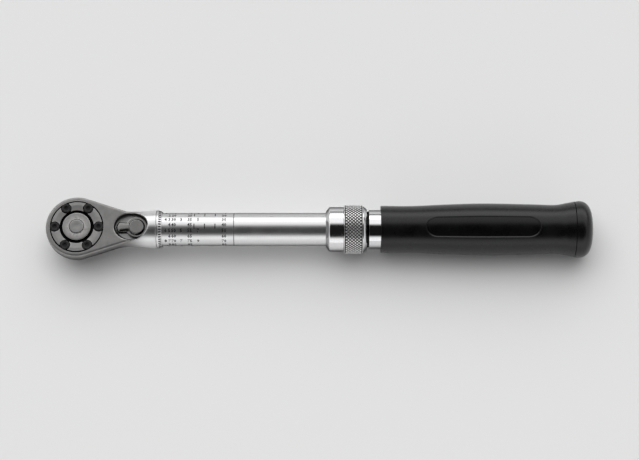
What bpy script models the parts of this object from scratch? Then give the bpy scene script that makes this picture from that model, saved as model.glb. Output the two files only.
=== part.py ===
"""Click-type torque wrench with a 3/8 inch ratchet head, as separate working pieces.

The wrench lies along X with its drive square pointing down. The origin is the middle of the square's
end face, which lies on the table together with the round end of the grip. Sizes below are in
millimetres, and places along the wrench are measured from the drive's axis.
"""

import math

import bmesh
import bpy
from mathutils import Matrix, Vector

MM = 0.001
WELD = 0.000001
SHARP_ANGLE = math.radians(32)
EMPTY_SIZE = 10.0

# Fits, broken edges, and how far a cutter runs past the face that it opens
SEAT_GAP = 0.2
SLIP = 0.2
PRESS = 0.1
EDGE = 0.4
CUT_PAST = 1.0

# Drive
SQUARE = 9.525
SQUARE_LENGTH = 11.5
SQUARE_EDGE = 0.7
SQUARE_END_CHAMFER = 0.6
DRIVE_STEP = 0.5
HUB_RADIUS = 9.2
HUB_RISE = 0.6
JOURNAL_RADIUS = 9.0
GEAR_TEETH = 36
GEAR_TIP_RADIUS = 12.4
TOOTH_DEPTH = 1.1
TOOTH_TIP = 0.35
BUTTON_RADIUS = 4.6
BUTTON_THICKNESS = 3.5
BUTTON_DISH = 0.3
BUTTON_TRAVEL = 2.5
BUTTON_SPRING_LENGTH = 5.1
BUTTON_SPRING_WIRE = 0.35
BUTTON_SPRING_TURNS = 3.5
STEM_RADIUS = 1.7
STEM_FOOT_RADIUS = 1.3
STEM_WAIST_RADIUS = 0.6
BALL_RADIUS = 2.0
BALL_PROUD = 0.8
BALL_HEIGHT = 5.8

# Ratchet head
HEAD_THICKNESS = 13.0
HEAD_TOP_ROUNDING = 1.4
HEAD_BOTTOM_ROUNDING = 5.0
HEAD_FLOOR = 2.4
HEAD_WALL = 2.75
HEAD_TAPER = math.radians(18.3)
GEAR_ROOM = 0.3
SEAL_WIDTH = 1.9
SEAL_SUNK = 1.3
COVER_THICKNESS = 2.0
COVER_CHAMFER = 0.3
COVER_MARGIN = 2.55
COVER_GAP = 0.6
CUTOUT_RADIUS = 3.5
CUTOUT_DEPTH = 1.0
COVER_SCREWS = 6
SCREW_WALL = 0.35
SCREW_HEAD_RADIUS = 3.0
SCREW_THREAD_RADIUS = 1.25
SCREW_LENGTH = 3.2
SCREW_SOCKET = 1.3
SCREW_SOCKET_DEPTH = 0.7

# Reversing gear
LEVER_SETBACK = 19.4
LEVER_SHAFT_RADIUS = 4.0
LEVER_SHAFT_PAST = 0.8
LEVER_SHAFT_WALL = 1.5
LEVER_BOSS_RADIUS = 6.9
LEVER_BOSS_HEIGHT = 2.0
LEVER_TOP_RADIUS = 4.3
LEVER_TOP_RISE = 1.4
LEVER_ARM_LENGTH = 13.3
LEVER_ARM_TIP = 2.8
LEVER_ARM_DRAFT = 0.9
LEVER_ARM_SLOPE = 0.09
LEVER_ARM_LIFT = 0.1
POCKET_DEPTH = 3.6
POCKET_FRONT_ROOM = 1.3
POCKET_SIDE_ROOM = 2.1
POCKET_BACK_ROOM = 0.7
LEVER_SCREW_RADIUS = 4.7
LEVER_SCREW_HEAD = 1.4
LEVER_SCREW_DISH = 0.8
LEVER_SCREW_DISH_FLOOR = 1.9
LEVER_SCREW_DISH_MOUTH = 2.4
LEVER_THREAD_RADIUS = 1.5
LEVER_THREAD_LENGTH = 3.4
PAWL_SETBACK = 7.1
PAWL_SWING = math.radians(6.0)
PAWL_HALF_WIDTH = 8.2
PAWL_BACK_HALF_WIDTH = 6.15
PAWL_THICKNESS = 5.2
PAWL_DIMPLE = 0.4
PAWL_GAP = 0.3
PAWL_TOOTH_GAP = 0.16
PAWL_PIN_RADIUS = 1.6
PAWL_PIN_SEAT = 1.2
PAWL_ROOM = 0.4
PAWL_ROOM_BEND = 2.0
PLUNGER_PIN_RADIUS = 1.2
PLUNGER_PIN_REACH = 13.8
PLUNGER_PIN_LENGTH = 11.7
PLUNGER_PIN_NOSE = 0.7
PAWL_SPRING_WIRE = 0.2
PAWL_SPRING_TURNS = 3.5

# Neck, tube and click mechanism
NECK_SUNK = 2.5
PLATE_SETBACK = 2.9
SOCKET_SETBACK = 13.0
SOCKET_DEPTH = 3.6
SOCKET_WALL = 1.2
SWING_GAP = 0.5
RING_WIDTH = 3.6
RING_LIP = 0.3
TUBE_RADIUS = 10.7
TUBE_WALL = 1.6
TUBE_LENGTH = 201.0
PIVOT_SETBACK = 8.1
PIVOT_PIN_RADIUS = 2.4
PIVOT_PIN_SEAT = 0.8
ARM_LENGTH = 40.0
ARM_SUNK = 1.5
ARM_SQUARENESS = 4
ARM_ROOT_ROOM = 1.0
ARM_END_ROOM = 2.6
BLOCK_LENGTH = 8.0
BLOCK_WIDTH = 6.0
BLOCK_HEIGHT = 9.0
BLOCK_CHAMFER = 1.3
BLOCK_GAP = 0.45
PLUNGER_LENGTH = 10.0
SPIGOT_LENGTH = 5.0
SPIGOT_ROOM = 0.9
SPRING_WIRE = 1.3
SPRING_ROOM = 0.6
SPRING_LENGTH = 57.0
SPRING_TURNS = 8
SPRING_SEAT_LENGTH = 5.6
THRUST_BALL_RADIUS = 2.5
THRUST_POCKET = 2.3
ADJUSTER_RADIUS = 5.0
ADJUSTER_LEAD = 1.0
NUT_LENGTH = 14.0
NUT_INSET = 2.0
DOWEL_RADIUS = 1.5
DOWEL_LENGTH = 4.0

# Handle
TUBE_SHOWING = 110.3
SLEEVE_SLIP = 0.3
SLEEVE_WALL = 1.5
SLEEVE_INSET = 4.0
COLLAR_LENGTH = 11.7
COLLAR_WALL = 1.8
COLLAR_FLARE = 2.2
COLLAR_FRONT = 3.1
COLLAR_LIP = 0.5
LOCK_GAP = 0.3
LOCK_LENGTH = 11.9
LOCK_WALL = 1.45
LOCK_RIM = 1.0
LOCK_RIM_GROOVE = 0.3
LOCK_TRAVEL = 3.0
LOCK_SPRING_ROOM = 1.8
LOCK_SPRING_WIRE = 0.35
LOCK_SPRING_TURNS = 2.5
LOCK_BALL_RADIUS = 0.9
LOCK_BALLS = 3
LOCK_RELEASE = 0.5
LOCK_RAMP = 1.0
LOCK_CONE_LENGTH = 2.5
LOCK_CONE_TIP = 0.3
LOCK_CONE_CROWN = 1.55
RETAINER_WIDTH = 1.1
RETAINER_INSET = 0.4
RETAINER_DEPTH = 0.5
RETAINER_HEIGHT = 1.4
RETAINER_SPLIT = 3.0
KNURL_COLUMNS = 32
KNURL_ROWS = 6
KNURL_DEPTH = 0.35
GROOVE_SETBACK = 26.6
GROOVE_WIDTH = 1.4
GROOVE_DEPTH = 0.8
GRIP_SETBACK = 36.0
GRIP_LENGTH = 125.8
# The grip's wall over the sleeve, at shares of its length
GRIP_WALLS = (
    (0.0, 2.6), (0.015, 2.9), (0.16, 2.8), (0.36, 3.9), (0.54, 4.45), (0.78, 3.9), (0.9, 3.5), (0.96, 4.7),
    (1.0, 5.6),
)
PANEL_SETBACK = 29.1
PANEL_LENGTH = 73.6
PANEL_WIDTH = 13.8
PANEL_DEPTH = 1.5
PANEL_THICKNESS = 0.7
PANEL_TURN = math.radians(10.0)
END_CAP_LENGTH = 11.9
END_CAP_GAP = 0.4
END_CAP_SPIGOT = 12.0
# The end cap's wall over the sleeve, at shares of its length
END_CAP_WALLS = (
    (0.0, 5.65), (0.3, 6.0), (0.58, 5.0), (0.82, 1.8), (0.95, -4.0), (1.0, -12.5),
)
PLUG_LENGTH = 12.0
PLUG_SETBACK = 4.0
HANDLE_PIN_RADIUS = 2.0

# Facets
ROUND_SIDES = 24
MIDDLE_SIDES = 16
SMALL_SIDES = 12
FINE_SIDES = 96
POCKET_SIDES = 28
NECK_SIDES = 24
ARM_SIDES = 20
HALF_ROUND = 9
WIRE_POINTS = 8
LOOP_POINTS = 16
CURVE_STEPS = 2

# Heights, measured from the wrench's axis
HEAD_HALF = HEAD_THICKNESS / 2
AXIS_HEIGHT = HEAD_HALF + DRIVE_STEP + SQUARE_LENGTH
COVER_FLOOR = HEAD_HALF - COVER_THICKNESS - SEAT_GAP
SCREW_SEAT = HEAD_HALF - CUTOUT_DEPTH + SEAT_GAP
GEAR_TOP = COVER_FLOOR - SEAT_GAP
POCKET_FLOOR = HEAD_HALF - POCKET_DEPTH
LEVER_SHAFT_END = HEAD_HALF + LEVER_SHAFT_PAST
CAVITY_FLOOR = HEAD_FLOOR - HEAD_HALF
HUB_TOP = HEAD_HALF + HUB_RISE
SQUARE_TOP = -HEAD_HALF - DRIVE_STEP
BALL_Z = BALL_HEIGHT - AXIS_HEIGHT
BUTTON_UNDER = HUB_TOP - BUTTON_THICKNESS
BUTTON_FLOOR = BUTTON_UNDER - BUTTON_SPRING_LENGTH
PAWL_LOW = CAVITY_FLOOR
PAWL_HIGH = PAWL_LOW + PAWL_THICKNESS
PAWL_FLOOR = PAWL_LOW - SEAT_GAP
PAWL_ROOF = PAWL_HIGH + SEAT_GAP
PAWL_MIDDLE = (PAWL_LOW + PAWL_HIGH) / 2

# Radii
GEAR_ROOT_RADIUS = GEAR_TIP_RADIUS - TOOTH_DEPTH
CAVITY_RADIUS = GEAR_TIP_RADIUS + GEAR_ROOM
SCREW_CIRCLE = CAVITY_RADIUS + SCREW_THREAD_RADIUS + SCREW_WALL
COVER_BORE = HUB_RADIUS + SEAL_WIDTH
COVER_RADIUS = SCREW_CIRCLE + COVER_MARGIN
RECESS_RADIUS = COVER_RADIUS + COVER_GAP
HEAD_RADIUS = RECESS_RADIUS + HEAD_WALL
BALL_OUT = SQUARE / 2 + BALL_PROUD - BALL_RADIUS
TUBE_BORE = TUBE_RADIUS - TUBE_WALL
SOCKET_BORE = TUBE_RADIUS + SWING_GAP
SOCKET_RADIUS = SOCKET_BORE + SOCKET_WALL
SPRING_RADIUS = TUBE_BORE - SPRING_ROOM - SPRING_WIRE
SPIGOT_RADIUS = SPRING_RADIUS - SPRING_WIRE - SPIGOT_ROOM
SLEEVE_BORE = TUBE_RADIUS + SLEEVE_SLIP
SLEEVE_RADIUS = SLEEVE_BORE + SLEEVE_WALL
COLLAR_RADIUS = SLEEVE_RADIUS + SLIP + COLLAR_WALL
LOCK_BORE = SLEEVE_RADIUS + SLIP
LOCK_CAVITY = SLEEVE_RADIUS + LOCK_SPRING_ROOM
LOCK_RADIUS = LOCK_CAVITY + LOCK_WALL
LOCK_BALL_OUT = (TUBE_RADIUS + LOCK_BORE) / 2
RETAINER_FLOOR = SLEEVE_RADIUS - RETAINER_DEPTH

# Places along the wrench, from the drive to the end of the grip
PAWL_REACH = GEAR_TIP_RADIUS + PAWL_SETBACK
NECK_START = PAWL_REACH + NECK_SUNK
LEVER_REACH = PAWL_REACH + LEVER_SETBACK
PLATE_REACH = LEVER_REACH - PLATE_SETBACK
POCKET_FRONT = LEVER_REACH - LEVER_ARM_LENGTH - POCKET_FRONT_ROOM
POCKET_BACK = LEVER_REACH + LEVER_BOSS_RADIUS + POCKET_BACK_ROOM
SOCKET_REACH = LEVER_REACH + SOCKET_SETBACK
SOCKET_FLOOR = SOCKET_REACH - SOCKET_DEPTH
TUBE_START = SOCKET_FLOOR + 2 * SWING_GAP
TUBE_END = TUBE_START + TUBE_LENGTH
PIVOT_REACH = SOCKET_REACH + PIVOT_SETBACK
ARM_REACH = PIVOT_REACH + ARM_LENGTH
BLOCK_START = ARM_REACH + BLOCK_GAP
BLOCK_END = BLOCK_START + BLOCK_LENGTH
PLUNGER_START = BLOCK_END + BLOCK_GAP
SPRING_START = PLUNGER_START + PLUNGER_LENGTH + SEAT_GAP
SPRING_END = SPRING_START + SPRING_LENGTH
SPRING_SEAT_START = SPRING_END + SEAT_GAP
SPRING_SEAT_END = SPRING_SEAT_START + SPRING_SEAT_LENGTH
THRUST_BALL_REACH = SPRING_SEAT_END - THRUST_POCKET + SEAT_GAP + THRUST_BALL_RADIUS
ADJUSTER_START = THRUST_BALL_REACH + THRUST_BALL_RADIUS + SEAT_GAP
NUT_END = TUBE_END - NUT_INSET
NUT_START = NUT_END - NUT_LENGTH
DOWEL_REACH = (NUT_START + NUT_END) / 2
HANDLE_REACH = SOCKET_REACH + TUBE_SHOWING
SLEEVE_START = HANDLE_REACH + COLLAR_FRONT + SEAT_GAP
COLLAR_END = HANDLE_REACH + COLLAR_LENGTH
LOCK_START = COLLAR_END + LOCK_GAP
LOCK_END = LOCK_START + LOCK_LENGTH
LOCK_BALL_REACH = LOCK_START + LOCK_TRAVEL + LOCK_BALL_RADIUS
LOCK_SHOULDER = LOCK_BALL_REACH + LOCK_BALL_RADIUS
RETAINER_END = LOCK_END - RETAINER_INSET
RETAINER_START = RETAINER_END - RETAINER_WIDTH
GRIP_START = HANDLE_REACH + GRIP_SETBACK
GRIP_END = GRIP_START + GRIP_LENGTH
SLEEVE_END = GRIP_END - SLEEVE_INSET
CAP_START = GRIP_END + END_CAP_GAP
SPIGOT_START = CAP_START - END_CAP_SPIGOT
PLUG_END = SPIGOT_START - PLUG_SETBACK
PLUG_START = PLUG_END - PLUG_LENGTH
HANDLE_PIN_REACH = (PLUG_START + PLUG_END) / 2

# The neck's loft: share of the way to the socket, shares of the socket's radius across and up, and squareness
NECK_SECTIONS = (
    (0.0, 1.11, 0.48, 3.2), (0.1, 1.045, 0.5, 3.1), (0.2, 0.985, 0.54, 2.9), (0.3, 0.95, 0.6, 2.65),
    (0.4, 0.936, 0.68, 2.4), (0.535, 0.934, 0.79, 2.2), (0.67, 0.948, 0.885, 2.08), (0.8, 0.975, 0.955, 2.0),
    (1.0, 1.0, 1.0, 2.0),
)

# Each moving body, with the body that carries it and a point on its joint's axis
BODIES = {
    "tube": (None, (0, 0, 0)),
    "head": ("tube", (PIVOT_REACH, 0, 0)),
    "drive": ("head", (0, 0, 0)),
    "release": ("drive", (0, 0, HUB_TOP)),
    "ball": ("drive", (0, -BALL_OUT, BALL_Z)),
    "pawl_rocker": ("head", (PAWL_REACH, 0, 0)),
    "lever": ("head", (LEVER_REACH, 0, 0)),
    "block": ("tube", (BLOCK_END, 0, 0)),
    "spring_plunger": ("tube", (PLUNGER_START, 0, 0)),
    "seat": ("tube", (SPRING_SEAT_START, 0, 0)),
    "handle": ("seat", (HANDLE_REACH, 0, 0)),
    "lock": ("handle", (LOCK_START, 0, 0)),
}

# Finishes: colour, roughness and metallic value
FINISHES = {
    "blasted_steel": ((0.27, 0.26, 0.26), 0.5, 1.0),
    "satin_chrome": ((0.78, 0.78, 0.79), 0.25, 1.0),
    "polished_chrome": ((0.85, 0.85, 0.86), 0.1, 1.0),
    "knurled_nickel": ((0.45, 0.45, 0.46), 0.4, 1.0),
    "black_oxide": ((0.03, 0.03, 0.03), 0.45, 0.6),
    "bright_steel": ((0.55, 0.55, 0.56), 0.3, 1.0),
    "spring_steel": ((0.35, 0.35, 0.37), 0.35, 1.0),
    "bronze": ((0.55, 0.38, 0.18), 0.35, 1.0),
    "black_rubber": ((0.012, 0.012, 0.013), 0.5, 0.0),
    "panel_plastic": ((0.008, 0.008, 0.009), 0.25, 0.0),
}


def clear_scene():
    for obj in list(bpy.data.objects):
        bpy.data.objects.remove(obj, do_unlink=True)


# Shapes

def make_object(name, bm):
    bmesh.ops.remove_doubles(bm, verts=bm.verts, dist=WELD)
    bmesh.ops.recalc_face_normals(bm, faces=bm.faces)
    mesh = bpy.data.meshes.new(name)
    bm.to_mesh(mesh)
    bm.free()
    mesh.shade_smooth()
    mesh.set_sharp_from_angle(angle=SHARP_ANGLE)
    return add_object(name, mesh)


def add_object(name, data):
    obj = bpy.data.objects.new(name, data)
    bpy.context.scene.collection.objects.link(obj)
    return obj


def turned(name, outline, axis="X", reach=0.0, sides=ROUND_SIDES):
    """Spins an outline of (distance along the axis, radius) points. One off the axis closes to a ring."""
    bm = bmesh.new()
    if axis == "X":
        points = [(along, 0, radius) for along, radius in outline]
        direction = (1, 0, 0)
    else:
        points = [(radius, 0, along) for along, radius in outline]
        direction = (0, 0, 1)
    verts = [bm.verts.new(Vector(point) * MM) for point in points]
    edges = [bm.edges.new(pair) for pair in zip(verts, verts[1:])]
    if min(radius for _, radius in outline) > 0:
        edges.append(bm.edges.new((verts[-1], verts[0])))
    bmesh.ops.spin(bm, geom=verts + edges, axis=direction, angle=2 * math.pi, steps=sides, use_merge=True)
    bmesh.ops.translate(bm, verts=bm.verts, vec=Vector((reach, 0, 0)) * MM)
    return make_object(name, bm)


def tube_outline(start, end, inner, outer):
    return [(start, inner), (start, outer), (end, outer), (end, inner)]


def lofted(name, sections):
    """Skins closed sections with equal numbers of points, and caps both ends."""
    bm = bmesh.new()
    loops = [[bm.verts.new(Vector(point) * MM) for point in section] for section in sections]
    for lower, upper in zip(loops, loops[1:]):
        for i in range(len(lower)):
            bm.faces.new((lower[i - 1], lower[i], upper[i], upper[i - 1]))
    bm.faces.new(loops[0])
    bm.faces.new(loops[-1])
    return make_object(name, bm)


def level(outline, z):
    return [(x, y, z) for x, y in outline]


def prism(name, outline, low, high):
    return lofted(name, [level(outline, low), level(outline, high)])


def rod(name, start, end, radius, sides=SMALL_SIDES):
    """A round bar from one point to another, for pins and for the holes that take them."""
    run = Vector(end) - Vector(start)
    turn = run.to_track_quat("Z", "Y")
    rim = [turn @ Vector((x, y, 0)) for x, y in circle(radius, sides)]
    return lofted(name, [[Vector(middle) + point for point in rim] for middle in (start, end)])


def sphere(name, radius, centre):
    bm = bmesh.new()
    bmesh.ops.create_uvsphere(bm, u_segments=SMALL_SIDES, v_segments=SMALL_SIDES // 2, radius=radius * MM)
    bmesh.ops.translate(bm, verts=bm.verts, vec=Vector(centre) * MM)
    return make_object(name, bm)


def coil(name, start, end, radius, wire, turns, axis="X", per_turn=WIRE_POINTS):
    """A wound spring, and its least gap to itself in print."""
    count = int(turns * per_turn)
    first = start + wire
    last = end - wire
    points = []
    for i in range(count + 1):
        angle = 2 * math.pi * i / per_turn
        along = first + (last - first) * i / count
        across = radius * math.cos(angle)
        up = radius * math.sin(angle)
        points.append(Vector((along, across, up) if axis == "X" else (across, up, along)))
    nearest = min(
        (points[i] - points[j]).length for i in range(count + 1) for j in range(i + per_turn // 2, count + 1)
    )
    print(f"{name}: least gap to itself {nearest - 2 * wire:.2f} mm")
    curve = bpy.data.curves.new(name, "CURVE")
    curve.dimensions = "3D"
    curve.bevel_depth = wire * MM
    curve.bevel_resolution = 1
    curve.use_fill_caps = True
    spline = curve.splines.new("POLY")
    spline.points.add(count)
    for spot, point in zip(spline.points, points):
        spot.co = (*(point * MM), 1)
    return add_object(name, curve)


def boolean(target, operation, *tools):
    for tool in tools:
        modifier = target.modifiers.new(tool.name, "BOOLEAN")
        modifier.operation = operation
        modifier.solver = "EXACT"
        modifier.object = tool
        tool.hide_render = True
        tool.display_type = "WIRE"
    return target


def cut(target, *tools):
    return boolean(target, "DIFFERENCE", *tools)


def join(target, *tools):
    return boolean(target, "UNION", *tools)


# Outlines

def arc(x, y, radius, start, end, count):
    angles = [start + (end - start) * i / (count - 1) for i in range(count)]
    return [(x + radius * math.cos(a), y + radius * math.sin(a)) for a in angles]


def circle(radius, sides):
    return arc(0, 0, radius, 0, 2 * math.pi, sides + 1)[:-1]


def smooth(points):
    """A Catmull-Rom curve through points."""
    ends = [points[0], *points, points[-1]]
    curve = [points[0]]
    for a, b, c, d in zip(ends, ends[1:], ends[2:], ends[3:]):
        for step in range(1, CURVE_STEPS + 1):
            t = step / CURVE_STEPS
            weights = (
                -0.5 * t + t * t - 0.5 * t**3,
                1 - 2.5 * t * t + 1.5 * t**3,
                0.5 * t + 2 * t * t - 1.5 * t**3,
                -0.5 * t * t + 0.5 * t**3,
            )
            curve.append(tuple(sum(w * p[k] for w, p in zip(weights, (a, b, c, d))) for k in range(2)))
    return curve


def oval_section(x, half_width, half_height, squareness, sides=NECK_SIDES):
    """A section across the wrench that goes from a box with round corners to a circle."""
    points = []
    for i in range(sides):
        angle = 2 * math.pi * (i + 0.5) / sides
        y = math.copysign(abs(math.cos(angle)) ** (2 / squareness), math.cos(angle))
        z = math.copysign(abs(math.sin(angle)) ** (2 / squareness), math.sin(angle))
        points.append((x, half_width * y, half_height * z))
    return points


def head_plan(inset):
    """The head seen from above: a round end with straight sides that run in to the neck."""
    radius = HEAD_RADIUS - inset
    turn = math.pi / 2 - HEAD_TAPER
    round_end = arc(0, 0, radius, turn, 2 * math.pi - turn, ROUND_SIDES + 1)
    side = radius * math.sin(turn) - (PLATE_REACH - radius * math.cos(turn)) * math.tan(HEAD_TAPER)
    return round_end + [(PLATE_REACH, -side), (PLATE_REACH, side)]


def rounded_levels(half_height, lower, upper, steps=3):
    """Heights and insets of the layers of a slab with round lower and upper edges, from the bottom up."""
    turns = [math.pi / 2 * i / steps for i in range(steps + 1)]
    below = [(lower * (1 - math.sin(a)) - half_height, lower * (1 - math.cos(a))) for a in reversed(turns)]
    above = [(half_height - upper * (1 - math.sin(a)), upper * (1 - math.cos(a))) for a in turns]
    return below + above


def gear_outline(grow=0.0):
    """The gear's teeth, symmetrical because the drive works both ways, made larger all round by grow."""
    pitch = 2 * math.pi / GEAR_TEETH
    tip = (TOOTH_TIP / 2 + grow) / GEAR_TIP_RADIUS
    root = pitch / 2 - (TOOTH_TIP / 2 - grow / 2) / GEAR_ROOT_RADIUS
    low = GEAR_ROOT_RADIUS + grow
    high = GEAR_TIP_RADIUS + grow
    points = []
    for tooth in range(GEAR_TEETH):
        middle = pitch * tooth
        for angle, radius in ((-root, low), (-tip, high), (tip, high), (root, low)):
            points.append((radius * math.cos(middle + angle), radius * math.sin(middle + angle)))
    return points


def turned_about(outline, reach, angle):
    spin = Matrix.Rotation(angle, 2)
    centre = Vector((reach, 0))
    return [tuple(spin @ (Vector(point) - centre) + centre) for point in outline]


def square_outline(inset):
    half = SQUARE / 2 - inset
    edge = half - SQUARE_EDGE
    return [
        (half, -edge), (half, edge), (edge, half), (-edge, half),
        (-half, edge), (-half, -edge), (-edge, -half), (edge, -half),
    ]


def hexagon(apothem, sides):
    angles = [2 * math.pi * i / sides for i in range(sides)]
    reach = [apothem / math.cos((a + math.pi / 6) % (math.pi / 3) - math.pi / 6) for a in angles]
    return [(r * math.cos(a), r * math.sin(a)) for a, r in zip(angles, reach)]


def stadium(start, length, width):
    half = width / 2
    left = arc(start + half, 0, half, math.pi / 2, 3 * math.pi / 2, HALF_ROUND)
    right = arc(start + length - half, 0, half, -math.pi / 2, math.pi / 2, HALF_ROUND)
    return left + right


# Bodies and finishes

def make_bodies():
    empties = {}
    for name, (carrier, point) in BODIES.items():
        empty = add_object(f"body_{name}", None)
        empty.empty_display_size = EMPTY_SIZE * MM
        if carrier:
            empty.parent = empties[carrier]
            empty.location = (Vector(point) - Vector(BODIES[carrier][1])) * MM
        else:
            empty.location = (Vector(point) + Vector((0, 0, AXIS_HEIGHT))) * MM
        empties[name] = empty
    return empties


def make_finishes():
    made = {}
    for name, (colour, roughness, metallic) in FINISHES.items():
        material = bpy.data.materials.new(name)
        material.use_nodes = True
        shader = material.node_tree.nodes["Principled BSDF"]
        shader.inputs["Base Color"].default_value = (*colour, 1)
        shader.inputs["Roughness"].default_value = roughness
        shader.inputs["Metallic"].default_value = metallic
        made[name] = material
    return made


class Bench:
    """Puts a finished piece on its body, with its origin on the joint's axis, and gives it its finish."""

    def __init__(self):
        self.empties = make_bodies()
        self.finishes = make_finishes()

    def fit(self, obj, body, finish):
        obj.data.materials.append(self.finishes[finish])
        self.carry(obj, body)
        return obj

    def carry(self, obj, body):
        obj.data.transform(Matrix.Translation(-Vector(BODIES[body][1]) * MM))
        obj.parent = self.empties[body]
        for modifier in obj.modifiers:
            self.carry(modifier.object, body)

    def fit_copies(self, first, body, finish, spots):
        """Places one object for each spot, all with the mesh of the first, which is made round the origin."""
        first.data.materials.append(self.finishes[finish])
        copies = [first] + [add_object(first.name, first.data) for _ in spots[1:]]
        stem = first.name
        for number, (obj, spot) in enumerate(zip(copies, spots), start=1):
            obj.name = f"{stem}_{number}"
            obj.parent = self.empties[body]
            obj.location = (Vector(spot) - Vector(BODIES[body][1])) * MM


# Ratchet head

def screw_spots():
    angles = [2 * math.pi * i / COVER_SCREWS for i in range(COVER_SCREWS)]
    return [(SCREW_CIRCLE * math.cos(a), SCREW_CIRCLE * math.sin(a)) for a in angles]


def screw_holes(name, radius, low, high):
    """One cutter that holds a bar for each cover screw."""
    bm = bmesh.new()
    for x, y in screw_spots():
        spot = Matrix.Translation(Vector((x, y, (low + high) / 2)) * MM)
        bmesh.ops.create_cone(
            bm, cap_ends=True, segments=SMALL_SIDES, radius1=radius * MM, radius2=radius * MM,
            depth=(high - low) * MM, matrix=spot,
        )
    return make_object(name, bm)


def pawl_room_outline():
    """Room for the pawl's wings to swing out, and for its plunger to swing with the lever's shaft."""
    wing_tip = math.sqrt(CAVITY_RADIUS**2 - PAWL_HALF_WIDTH**2)
    swung = PAWL_HALF_WIDTH * math.cos(PAWL_SWING) + (PAWL_REACH - wing_tip) * math.sin(PAWL_SWING)
    side = swung + PAWL_ROOM
    bend = LEVER_REACH - PLUNGER_PIN_REACH + PAWL_ROOM_BEND
    mouth = LEVER_SHAFT_RADIUS * math.sin(math.pi / 4)
    shaft = LEVER_REACH - mouth
    return [(0, -side), (bend, -side), (shaft, -mouth), (shaft, mouth), (bend, side), (0, side)]


def pocket_outline():
    middle = (POCKET_FRONT + POCKET_BACK) / 2
    half_length = (POCKET_BACK - POCKET_FRONT) / 2
    half_width = LEVER_BOSS_RADIUS + POCKET_SIDE_ROOM
    return [(middle + half_length * x, half_width * y) for x, y in circle(1, POCKET_SIDES)]


def make_ratchet_head():
    layers = rounded_levels(HEAD_HALF, HEAD_BOTTOM_ROUNDING, HEAD_TOP_ROUNDING)
    head = lofted("ratchet_head", [level(head_plan(inset), z) for z, inset in layers])
    neck_length = SOCKET_REACH - NECK_START
    neck_sections = [
        oval_section(NECK_START + share * neck_length, across * SOCKET_RADIUS, up * SOCKET_RADIUS, squareness)
        for share, across, up, squareness in NECK_SECTIONS
    ]
    neck = lofted("neck", neck_sections)
    floor = SOCKET_FLOOR
    mouth = SOCKET_REACH + CUT_PAST
    socket = turned("socket_bore", [(floor, 0), (floor, SOCKET_BORE), (mouth, SOCKET_BORE), (mouth, 0)])
    corner = 2 ** (1 / 2 - 1 / ARM_SQUARENESS)
    root_size = (TUBE_BORE - ARM_ROOT_ROOM) / corner
    end_size = (TUBE_BORE - ARM_END_ROOM) / corner
    arm_root = SOCKET_FLOOR - ARM_SUNK
    arm_taper = PIVOT_REACH + 2 * PIVOT_PIN_RADIUS
    arm_sections = [
        oval_section(x, size, size, ARM_SQUARENESS, ARM_SIDES)
        for x, size in ((arm_root, root_size), (arm_taper, root_size), (ARM_REACH, end_size))
    ]
    arm = lofted("click_arm", arm_sections)
    drive_room = turned(
        "drive_room",
        [
            (-HEAD_THICKNESS, 0), (-HEAD_THICKNESS, JOURNAL_RADIUS + SLIP),
            (CAVITY_FLOOR, JOURNAL_RADIUS + SLIP), (CAVITY_FLOOR, CAVITY_RADIUS),
            (COVER_FLOOR, CAVITY_RADIUS), (COVER_FLOOR, RECESS_RADIUS),
            (HEAD_THICKNESS, RECESS_RADIUS), (HEAD_THICKNESS, 0),
        ],
        axis="Z",
    )
    pawl_room = prism("pawl_room", pawl_room_outline(), PAWL_FLOOR, PAWL_ROOF)
    pocket = prism("lever_pocket", pocket_outline(), POCKET_FLOOR, HEAD_THICKNESS * 2)
    lever_bore = rod(
        "lever_bore", (LEVER_REACH, 0, -LEVER_SHAFT_END - SEAT_GAP),
        (LEVER_REACH, 0, POCKET_FLOOR + CUT_PAST), LEVER_SHAFT_RADIUS + SLIP, MIDDLE_SIDES,
    )
    lever_counterbore = rod(
        "lever_counterbore", (LEVER_REACH, 0, -HEAD_THICKNESS * 2),
        (LEVER_REACH, 0, -LEVER_SHAFT_END - SEAT_GAP / 2), LEVER_SCREW_RADIUS + SLIP, MIDDLE_SIDES,
    )
    pawl_pin_hole = rod(
        "pawl_pin_hole", (PAWL_REACH, 0, -HEAD_THICKNESS),
        (PAWL_REACH, 0, PAWL_ROOF + PAWL_PIN_SEAT + SEAT_GAP), PAWL_PIN_RADIUS + PRESS,
    )
    thread_end = SCREW_SEAT - SCREW_LENGTH - SEAT_GAP
    threads = screw_holes("screw_threads", SCREW_THREAD_RADIUS + PRESS, thread_end, HEAD_THICKNESS)
    pivot_hole = rod(
        "pivot_hole", (PIVOT_REACH, 0, -TUBE_RADIUS), (PIVOT_REACH, 0, TUBE_RADIUS), PIVOT_PIN_RADIUS + SLIP,
    )
    join(head, neck)
    cut(head, socket)
    join(head, arm)
    cut(head, drive_room, pawl_room, pocket, lever_bore, lever_counterbore)
    return cut(head, pawl_pin_hole, threads, pivot_hole)


def make_cover_plate():
    low = HEAD_HALF - COVER_THICKNESS
    edge = HEAD_HALF - COVER_CHAMFER
    plate = turned(
        "cover_plate",
        [
            (low, COVER_BORE), (low, COVER_RADIUS),
            (edge, COVER_RADIUS), (HEAD_HALF, COVER_RADIUS - COVER_CHAMFER),
            (HEAD_HALF, COVER_BORE + COVER_CHAMFER), (edge, COVER_BORE),
        ],
        axis="Z",
    )
    cutouts = screw_holes("cover_cutouts", CUTOUT_RADIUS, HEAD_HALF - CUTOUT_DEPTH, HEAD_THICKNESS)
    holes = screw_holes("cover_holes", SCREW_THREAD_RADIUS + SLIP, 0, HEAD_THICKNESS)
    return cut(plate, cutouts, holes)


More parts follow.
